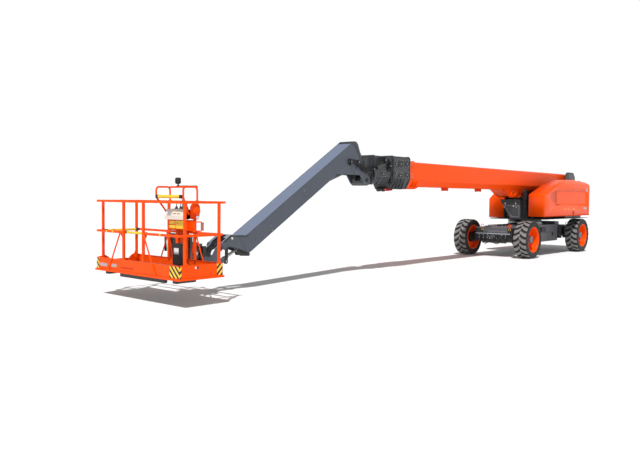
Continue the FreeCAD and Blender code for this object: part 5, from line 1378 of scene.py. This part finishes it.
def turntable_trim():
    m = Mesh("hood_fittings", "turntable")
    # rubber seals behind the door gaps
    def frame(x0, x1, z0, z1, ya, yb, w=22):
        m.box(x0 - w, x0 + 6, ya, yb, z0 - w, z1 + w, SHELL)
        m.box(x1 - 6, x1 + w, ya, yb, z0 - w, z1 + w, SHELL)
        m.box(x0 + 6, x1 - 6, ya, yb, z0 - w, z0 + 6, SHELL)
        m.box(x0 + 6, x1 - 6, ya, yb, z1 - 6, z1 + w, SHELL)
    frame(-2186, 396, 1664, 2102, 1219, 1226)
    frame(-2186, -54, 1294, 1786, -1226, -1219)
    # black strips over the left door's front and lower edges: painted shade of the door gap
    m.box(391, 402, 1240, 1243, 1660, 2080, BLACK)
    m.box(130, 402, 1240, 1243, 1653, 1664, BLACK)
    # strips along the lower edges in the darker orange: painted shade
    m.box(-2560, 1270, 1240, 1244, 1272, 1290, DEEP_ORANGE_AND_PAINTED_SHADE)
    m.box(-2560, 170, -1244, -1240, 1192, 1208, DEEP_ORANGE_AND_PAINTED_SHADE)
    # yellow marks, latch with its keeper, blank plates
    for x, w in ((-350, 44), (-620, 26), (-1110, 50)):
        m.prism("xz", 1240, 1241.4, [(x - w, 1484), (x + w, 1490), (x + w * 0.7, 1520), (x - w * 0.2, 1512), (x - w, 1526)], YELLOW)
    m.box(-1130, -1030, 1240, 1246, 1330, 1440, REDPART)
    m.box(-1110, -1050, 1244, 1247, 1350, 1375, BLACK)
    m.box(-1104, -1056, 1236, 1246, 1283, 1330, BLACK)
    m.box(-2320, -2020, 1240, 1241.6, 1480, 1560, PLATE)
    for x in (-2310, -2030):
        for z in (1488, 1552):
            m.bolt(P(x, 1241.6, z), (0, 1, 0), 0.006, ZINC, washer=False)
    m.box(-2440, -2240, -1241.6, -1240, 1480, 1560, PLATE)
    m.lathe(P(-2300, 1240, 2160), (0, 1, 0), [(0.0, 0.0016), (0.066, 0.0016), (0.070, 0.0)], PLATE, n=36)
    # filler cap and beacon foot on the top
    m.lathe(P(-2440, 900, 2446), (0, 0, 1), [(0.052, -0.010), (0.052, 0.006), (0.044, 0.010), (0.044, 0.034), (0.038, 0.040), (0.0, 0.042)], AMBER, n=30)
    m.lathe(P(-2300, -900, 2106), (-0.0, -0.36, 0.93), [(0.050, -0.010), (0.050, 0.006), (0.044, 0.010), (0.044, 0.030), (0.038, 0.036), (0.0, 0.038)], BLACK, n=30)
    # exhaust outlet on the right hood
    m.lathe(P(-1700, -780, 2140), (0, 0, 1), [(0.046, -0.02), (0.046, 0.085), (0.040, 0.085), (0.040, -0.01)], IRON, n=28)
    # vents in the rear faces: black strips as painted shade of the slots, under louvre lips
    for k in range(7):
        z = 1420 + k * 60
        m.box(-2603, -2599, 820, 1140, z, z + 22, BLACK)
        m.prism("xz", 815, 1145, [(-2600, z + 20), (-2600, z + 30), (-2612, z + 18), (-2612, z + 12)], SHELL)
        m.box(-2603, -2599, -1140, -820, z, z + 22, BLACK) if z < 1760 else None
        m.prism("xz", -1145, -815, [(-2600, z + 20), (-2600, z + 30), (-2612, z + 18), (-2612, z + 12)], SHELL) if z < 1760 else None
    m.done(bevel=0.002, segs=1)

    c = Mesh("front_cover_trim", "turntable")
    # deep lid over the sloping body, two over-centre latches, ribs and a blank plate
    c.prism("yz", 1215, 1231, [(-262, 1655), (391, 1655), (391, 1802), (-296, 1802)], BLACK)
    c.prism("yz", 938, 1234, [(-298, 1800), (396, 1800), (396, 1812), (-298, 1812)], BLACK)
    c.prism("yz", 1215, 1222, [(70, 1225), (366, 1225), (366, 1620), (-190, 1620)], GREY)
    c.prism("yz", 1221, 1226, [(120, 1270), (340, 1270), (340, 1590), (-140, 1590)], DARK)
    for y, z in ((-120, 1640), (240, 1640)):
        c.box(1228, 1242, y - 18, y + 18, z - 6, z + 60, ZINC)
        c.tube(P(1240, y - 22, z + 4), P(1240, y + 22, z + 4), 0.006, ZINC, 10)
    for y, z, r in ((-150, 1560, 0.020), (160, 1590, 0.028), (260, 1560, 0.020)):
        c.lathe(P(1226, y, z), (1, 0, 0), [(0.0, 0.022), (r * 0.8, 0.022), (r, 0.016), (r, 0.0)], ZINC, n=20)
    c.box(391, 1215, 396, 404, 1195, 1500, DARK)
    c.done(bevel=0.004, segs=2)

    h = Mesh("turntable_hoses", "turntable")
    # hoses beside the cover: they rise, arch over and drop again behind it
    for i in range(6):
        y = 462 + (i % 3) * 32
        x = 1120 - (i // 3) * 60
        top = 2110 - i * 26
        h.curve([P(x, y, 1200), P(x + 6, y - 3, 1500), P(x - 4, y - 14, 1850), P(x - 50, y - 24, top - 20), P(x - 150, y - 20, top + 30), P(x - 260, y - 8, top - 90), P(x - 320, y + 4, 1800), P(x - 340, y + 8, 1500), P(x - 340, y, 1200)], 0.0165 if i % 2 else 0.0125, HOSE, n=10, seg=6)
    for z in (1560, 1820):
        h.box(1030, 1140, 446, 560, z, z + 26, BLACK)
        h.bolt(P(1060, 500, z + 26), (0, 0, 1), 0.014, ZINC)
    # hoses from the pump down through the middle of the deck
    for i, y in enumerate((-330, -290, -250)):
        h.curve([P(860, y, 1200), P(880, y, 1420), P(800, y + 20, 1560), P(600, y + 30, 1500), P(480, y + 30, 1200)], 0.016, HOSE, n=10)
    h.done(smooth=50)

    e = Mesh("engine_details", "turntable")
    # fan shroud, belt guard, manifold with pipes, filter and silencer
    for k in range(5):
        x = -1620 + k * 190
        e.box(x, x + 120, -1132, -1124, 1560, 1700, DARK)
        e.tube(P(x + 60, -1128, 1640), P(x + 60, -1165, 1760), 0.028, ALLOY, 16)
        e.bolt(P(x + 20, -1132, 1580), (0, -1, 0), 0.016, ZINC)
        e.bolt(P(x + 100, -1132, 1680), (0, -1, 0), 0.016, ZINC)
    e.pipe([P(-1600, -1165, 1765), P(-740, -1165, 1765)], 0.036, IRON, n=18)
    e.lathe(P(-1500, -1125, 1380), (0, -1, 0), [(0.0, 0.07), (0.050, 0.07), (0.056, 0.062), (0.056, 0.0)], BLACK, n=26)
    e.lathe(P(-1250, -1125, 1380), (0, -1, 0), [(0.0, 0.07), (0.050, 0.07), (0.056, 0.062), (0.056, 0.0)], YELLOW, n=26)
    e.lathe(P(-760, -930, 1880), (1, 0, 0), [(0.0, -0.30), (0.085, -0.30), (0.090, -0.29), (0.090, 0.02), (0.085, 0.03), (0.0, 0.03)], BLACK, n=30)
    e.tube(P(-900, -930, 1870), P(-900, -930, 1960), 0.03, BLACK, 16)
    e.done(bevel=0.003, segs=1)

    t = Mesh("tank_details", "turntable")
    t.lathe(P(-760, 960, 1900), (0, 0, 1), [(0.056, 0.0), (0.060, 0.004), (0.060, 0.026), (0.050, 0.034), (0.0, 0.036)], BLACK, n=28)
    t.lathe(P(-1600, 960, 1900), (0, 0, 1), [(0.070, 0.0), (0.075, 0.004), (0.075, 0.060), (0.066, 0.070), (0.0, 0.070)], ZINC, n=28)
    t.box(-1240, -1160, 1190, 1196, 1420, 1760, PLATE)
    for z in (1410, 1768):
        t.bolt(P(-1200, 1193, z), (0, 1, 0), 0.018, ZINC)
    for x in (-1780, -620):
        t.box(x, x + 40, 764, 1196, 1900, 1906, DARK)
        t.box(x, x + 40, 1190, 1196, 1200, 1906, DARK)
    t.done(bevel=0.002, segs=1)

    w = Mesh("counterweight_trim", "turntable")
    for y in (-300, 300):
        w.tube(P(-3180, y, 1880), P(-3180, y, 1890), 0.045, IRON, 20)
        w.pipe([P(-3180, y - 36, 1880), P(-3180, y - 36, 1950), P(-3180, y + 36, 1950), P(-3180, y + 36, 1880)], 0.014, IRON, n=12, bend=0.034)
    for y in (-580, 580):
        w.pipe([P(-2950, y - 36, 2018), P(-2950, y - 36, 2082), P(-2950, y + 36, 2082), P(-2950, y + 36, 2018)], 0.013, IRON, n=12, bend=0.034)
    for y in (-630, -500, 500, 630):
        w.lathe(P(-3240, y, 1400), (-1, 0, 0), [(0.0, 0.009), (0.030, 0.009), (0.034, 0.007), (0.034, 0.004), (0.046, 0.003), (0.046, 0.0)], ZINC, n=24)
        w.lathe(P(-3240, y, 1840), (-1, 0, 0), [(0.0, 0.009), (0.030, 0.009), (0.034, 0.007), (0.034, 0.004), (0.046, 0.003), (0.046, 0.0)], ZINC, n=24)
    for s in (-1, 1):
        w.box(-3244, -3239, *sorted((s * 120, s * 380)), 1300, 1340, LABEL)
        w.prism("yz", -3243, -3239.5, [(s * 470, 1230), (s * 690, 1230), (s * 690, 1290), (s * 470, 1290)], HAZARD)
    w.done(bevel=0.003, segs=1)

    # luffing pivot: caps, keeper bars; box at the tail
    l = Mesh("pivot_trim", "turntable")
    for s in (-1, 1):
        l.lathe(P(-2900, s * 450, 2500), (0, s, 0), [(0.0, 0.022), (0.070, 0.022), (0.076, 0.016), (0.076, 0.006), (0.120, 0.006), (0.126, 0.0), (0.126, -0.002)], BLACK, n=36)
        for k in range(6):
            t_ = math.radians(60 * k + 15)
            l.bolt(P(-2900 + 98 * math.cos(t_), s * 456, 2500 + 98 * math.sin(t_)), (0, s, 0), 0.015, ZINC)
        l.prism("xz", *sorted((s * 450, s * 458)), [(-3190, 2560), (-2640, 2560), (-2560, 2690), (-2600, 2770), (-3030, 2770), (-3170, 2650)], DARK)
        l.lathe(P(-1900, s * 195, 1390), (0, s, 0), [(0.052, 0.0), (0.086, 0.0), (0.090, 0.004), (0.090, 0.012), (0.052, 0.012)], DARK, n=28)
        # rib along the riser
        l.prism("xz", *sorted((s * 450, s * 466)), [(-2150, 2420), (-1440, 1985), (-1460, 1960), (-2180, 2385)], DARK)
    for s in (-1, 1):
        l.box(-3190, -3060, *sorted((s * 322, s * 415)), 2560, 2700, BLACK)
        l.tube(P(-3190, s * 368, 2630), P(-3204, s * 368, 2630), 0.030, REDPART, 20)
    l.done(bevel=0.003, segs=1)


turntable_trim()

# ------------------------------------------------------------------ chassis
def chassis_trim():
    m = Mesh("axle_details", "chassis")
    AX = 2030
    for s in (1, -1):
        ax = AX * s
        face = ax + s * 250
        def bx(x0, x1, y0, y1, z0, z1, mat):
            a, b = sorted((face + s * x0, face + s * x1))
            m.box(a, b, y0, y1, z0, z1, mat)
        # shadowed hollow under the plate with columns, brackets and valves in front of it
        bx(0, 3, -556, 556, 562, 706, BLACK)
        for y, w in ((-470, 34), (-330, 24), (-190, 46), (-20, 30), (130, 52), (300, 26), (430, 44)):
            bx(3, 20, y - w / 2, y + w / 2, 470 if abs(y) > 100 else 420, 706, DARK if w < 40 else BLACK)
            m.bolt(P(face + s * 20, y, 600), (s, 0, 0), 0.020, ZINC)
            m.bolt(P(face + s * 20, y, 680), (s, 0, 0), 0.020, ZINC)
        bx(3, 36, -150, 90, 600, 680, BLACK)
        bx(8, 34, -120, -40, 560, 600, ZINC)
        bx(8, 34, 10, 70, 540, 600, BLACK)
        for y in (-130, -80, -30, 20, 70):
            m.tube(P(face + s * 36, y, 640), P(face + s * 39, y, 640), 0.012, ZINC, 12)
        # shaded side fields of the upper face, a pale strip where the plate's edge catches the light
        bx(0, 4, -556, -345, 745, 898, BLACK)
        bx(0, 4, 480, 556, 745, 898, BLACK)
        bx(0, 12, -345, 480, 748, 770, DARK)
        if s > 0:
            bx(4, 41, -588, 588, 711, 743, PALE_PAINTED_HIGHLIGHT)
        else:
            bx(4, 12, -556, 556, 711, 743, PALE_PAINTED_HIGHLIGHT)
        # bolts along the edge of the plate and the lid
        for y in range(-540, 541, 120):
            m.bolt(P(ax + s * 268, y, 922), (0, 0, 1), 0.018, ZINC)
            m.bolt(P(ax - s * 268, y, 922), (0, 0, 1), 0.018, ZINC)
            if s > 0:
                m.bolt(P(face + 22, y, 742), (0, 0, 1), 0.018, ZINC)
        # low cross member below the housing
        m.box(*sorted((ax - s * 200, ax + s * 200)), -460, 460, 500, 562, BLACK)
        m.box(*sorted((ax + s * 120, ax + s * 200)), -400, 400, 430, 502, DARK)
        m.lathe(P(ax, 0, 470), (0, 0, 1), [(0.0, -0.05), (0.09, -0.05), (0.13, 0.0), (0.15, 0.032)], IRON, n=28)
        # tie-down rings with yellow shackles
        for y in (-372, 560):
            c = P(ax + s * 262, y, 972)
            R_, r_ = 0.046, 0.0095
            pts = [c + Vector((0, math.sin(t), math.cos(t))) * R_ for t in [2 * math.pi * k / 24 for k in range(25)]]
            m.sweep(pts, r_, ORANGE, n=10, cap=False)
            m.box(*sorted((ax + s * 240, ax + s * 284)), y - 26, y + 26, 922, 934, ORANGE)
            bx(0, 30, y - 34, y + 34, 838, 892, YELLOW)
            m.lathe(P(face + s * 30, y, 865), (s, 0, 0), [(0.0, 0.012), (0.020, 0.012), (0.024, 0.006), (0.024, 0.0)], BLACK, n=18)
    # rounded cover on the front axle: lamp brackets, hose ports, handles
    for y in (-250, -120, 260, 380):
        m.lathe(P(2100, y, 966), (0, 0, 1), [(0.0, 0.030), (0.026, 0.030), (0.030, 0.024), (0.030, 0.0)], BLACK if y > 0 else ZINC, n=20)
    m.lathe(P(2120, 120, 1022), (0, 0, 1), [(0.068, -0.060), (0.070, -0.056), (0.070, -0.004), (0.064, 0.002), (0.0, 0.004)], BLACK, n=32)
    m.box(2216, 2226, -320, 462, 925, 962, GREY)
    for y in range(-300, 460, 95):
        m.bolt(P(2226, y, 944), (1, 0, 0), 0.014, ZINC)
    # side plates: doublers round the holes, steps, junction box, weld beads
    for s in (-1, 1):
        for x in (920, -920):
            m.lathe(P(x, s * 600, 640), (0, s, 0), [(0.0612, -0.012), (0.0612, 0.006), (0.086, 0.008), (0.092, 0.004), (0.092, -0.001)], GREY, n=36)
        m.pipe([P(-1346, s * 599.5, 404), P(1346, s * 599.5, 404)], 0.005, GREY, n=6)
        m.box(-1348, 1348, *sorted((s * 560, s * 600)), 960, 966, GREY)
        m.box(-380, 380, *sorted((s * 600, s * 612)), 430, 470, GREY)
        m.box(-240, 120, *sorted((s * 600, s * 660)), 720, 880, BLACK)
        for x in (-225, 105):
            for z in (735, 865):
                m.bolt(P(x, s * 660, z), (0, s, 0), 0.012, ZINC)
        for x in (-1240, -1150, 1150, 1240):
            m.bolt(P(x, s * 600, 900), (0, s, 0), 0.022, ZINC)
            m.bolt(P(x, s * 600, 460), (0, s, 0), 0.022, ZINC)
        # lashing eye on the side
        m.prism("xz", *sorted((s * 600, s * 618)), [(-640, 430), (-520, 430), (-545, 520), (-615, 520)], GREY)
    m.done(bevel=0.003, segs=1)

    h = Mesh("axle_hoses", "chassis")
    for s in (1, -1):
        ax = AX * s
        f = ax + s * 280
        for i, (y0, y1, z0, sag) in enumerate(((-520, -230, 690, 190), (-420, -60, 660, 250), (-250, 110, 690, 170), (-60, 330, 650, 240), (140, 470, 690, 200), (300, 540, 660, 160))):
            x = f + s * (-4 + 6 * (i % 3))
            h.curve([P(x, y0, z0), P(x + s * 6, y0 + 25, z0 - sag * 0.6), P(x + s * 8, (y0 + y1) / 2, z0 - sag), P(x + s * 6, y1 - 25, z0 - sag * 0.55), P(x, y1, z0 + 10)], 0.0135 if i % 2 else 0.0105, HOSE, n=10)
        # hoses from the swivel to the axle
        for i, y in enumerate((-70, -25, 20, 65)):
            h.curve([P(s * 640, y * 0.7, 985), P(s * 900, y, 1010 + 10 * i), P(s * 1300, y * 1.2, 990), P(s * 1600, y * 1.3, 985), P(s * 1790, y * 1.2, 935)], 0.014, HOSE, n=10)
    h.done(smooth=50)

    g = Mesh("slew_ring_gear", "chassis")
    n = 96
    for k in range(n):
        t = 2 * math.pi * k / n
        d = 2 * math.pi / n
        vs, fs = [], []
        for z in (968, 1040):
            for r, w in ((539, 0.30), (553, 0.17)):
                for sg in (-1, 1):
                    vs.append(P(r * math.cos(t + sg * d * w), r * math.sin(t + sg * d * w), z))
        fs = [(0, 1, 3, 2), (4, 6, 7, 5), (0, 2, 6, 4), (1, 5, 7, 3), (2, 3, 7, 6), (0, 4, 5, 1)]
        g.add(vs, fs, ZINC)
    for k in range(32):
        t = 2 * math.pi * k / 32
        g.bolt(P(575 * math.cos(t), 575 * math.sin(t), 960) , (0, 0, 1), 0.020, ZINC)
    g.done(bevel=0.0, smooth=30)


chassis_trim()

# ------------------------------------------------------------------ pieces that stay as built
FINISH = {
    "chassis_frame": (GREY, 0.006), "slew_ring": (ZINC, 0.003), "front_axle_housing": (GREY, 0.006), "rear_axle_housing": (GREY, 0.006),
    "turntable_frame": (BLACK, 0.004), "turntable_drum": (BLACK, 0.003), "counterweight": (IRON, 0.025), "engine_block": (ALLOY, 0.006), "hydraulic_tank": (BLACK, 0.008),
    "front_cover": (DARK, 0.006), "hood_left": (SHELL, 0.0), "hood_right": (SHELL, 0.0), "hood_door_left": (SHELL, 0.0), "hood_door_right": (SHELL, 0.0),
    "boom_base": (ORANGE, 0.006), "boom_section_2": (COLLAR, 0.004), "boom_section_3": (COLLAR, 0.004), "boom_section_4": (COLLAR, 0.004), "boom_head": (COLLAR, 0.006),
    "lift_cylinder_barrel": (DARK, 0.0), "lift_cylinder_rod": (CHROME, 0.0), "jib": (JIB, 0.004), "jib_cylinder_barrel": (DARK, 0.0), "jib_cylinder_rod": (CHROME, 0.0),
    "levelling_cylinder_barrel": (BRIGHT, 0.0), "levelling_cylinder_rod": (BRIGHT, 0.0), "levelling_yoke": (JIB, 0.004), "rotator": (BLACK, 0.003), "rotator_bracket": (DARK, 0.004),
    "platform_floor": (GRATE, 0.0), "platform_lip": (ORANGE, 0.003), "platform_beams": (BLACK, 0.003), "rail_front": (ORANGE, 0.003), "rail_rear": (ORANGE, 0.003),
    "rail_left_end": (ORANGE, 0.003), "rail_right_end": (ORANGE, 0.003), "gate_bar_front": (YELLOW, 0.003), "gate_bar_right": (YELLOW, 0.003),
    "control_console": (BEIGE, 0.006), "console_box": (ORANGE, 0.006), "console_support": (ORANGE, 0.003), "console_guard": (ORANGE, 0.003),
    "sensor_bar": (YELLOW, 0.005), "document_box": (PLASTIC, 0.012),
}
for n, o in NODES.items():
    if n in FINISH:
        dress(n, *FINISH[n])
    elif n.startswith(("axle_beam", "steering_knuckle")):
        dress(n, BLACK, 0.003)
    else:
        dress(n, DARK)

# ------------------------------------------------------------------ floor, light, camera
def stage():
    me = bpy.data.meshes.new("floor")
    s = 300
    me.from_pydata([(-s, -s, -0.002), (s, -s, -0.002), (s, s, -0.002), (-s, s, -0.002)], [], [(0, 1, 2, 3)])
    m = bpy.data.materials.new("pale_floor")
    m.use_nodes = True
    b = m.node_tree.nodes["Principled BSDF"]
    b.inputs["Base Color"].default_value = (0.92, 0.92, 0.92, 1)
    b.inputs["Roughness"].default_value = 0.9
    b.inputs["Specular IOR Level"].default_value = 0.1
    me.materials.append(m)
    o = bpy.data.objects.new("floor", me)
    bpy.context.scene.collection.objects.link(o)

    w = bpy.data.worlds.new("studio")
    bpy.context.scene.world = w
    w.use_nodes = True
    nt = w.node_tree
    nt.nodes.clear()
    tc = _n(nt, "ShaderNodeTexCoord", -900, 0)
    sx = _n(nt, "ShaderNodeSeparateXYZ", -700, 0)
    nt.links.new(tc.outputs["Generated"], sx.inputs[0])
    mr = _n(nt, "ShaderNodeMapRange", -500, 0, interpolation_type="SMOOTHSTEP")
    mr.inputs[1].default_value, mr.inputs[2].default_value = 0.28, 0.44
    mr.inputs[3].default_value, mr.inputs[4].default_value = 1.02, 0.20
    nt.links.new(sx.outputs[2], mr.inputs[0])
    bg = _n(nt, "ShaderNodeBackground", -200, 0)
    bg.inputs[0].default_value = (1, 1, 1, 1)
    nt.links.new(mr.outputs[0], bg.inputs[1])
    out = _n(nt, "ShaderNodeOutputWorld", 0, 0)
    nt.links.new(bg.outputs[0], out.inputs[0])

    def light(kind, name, loc, aim, energy, **kw):
        l = bpy.data.lights.new(name, kind)
        l.energy = energy
        for k, v in kw.items():
            setattr(l, k, v)
        ob = bpy.data.objects.new(name, l)
        ob.location = loc
        d = Vector(aim) - Vector(loc)
        ob.rotation_euler = d.to_track_quat("-Z", "Y").to_euler()
        bpy.context.scene.collection.objects.link(ob)

    light("SUN", "overhead", (10.6, 6.4, 20), (0, 0, 0), 3.3, angle=math.radians(1.4))

    cam = bpy.data.cameras.new("camera")
    cam.sensor_width = 36
    cam.lens = 38.25
    cam.clip_end = 2000
    c = bpy.data.objects.new("camera", cam)
    yaw, pitch, roll = math.radians(41.2), math.radians(-2.45), math.radians(0.6)
    fwd = Vector((-math.cos(yaw) * math.cos(pitch), -math.sin(yaw) * math.cos(pitch), math.sin(pitch)))
    right = fwd.cross(Vector((0, 0, 1))).normalized()
    up = right.cross(fwd)
    r_ = right * math.cos(roll) + up * math.sin(roll)
    u_ = -right * math.sin(roll) + up * math.cos(roll)
    m4 = Matrix((r_, u_, -fwd)).transposed().to_4x4()
    m4.translation = Vector((22.0 + OX, 10.0, 1.84))
    c.matrix_world = m4
    bpy.context.scene.collection.objects.link(c)
    bpy.context.scene.camera = c
    v = bpy.context.scene.view_settings
    v.view_transform = "Standard"
    v.look = "None"
    v.exposure = 0
    v.gamma = 1


stage()
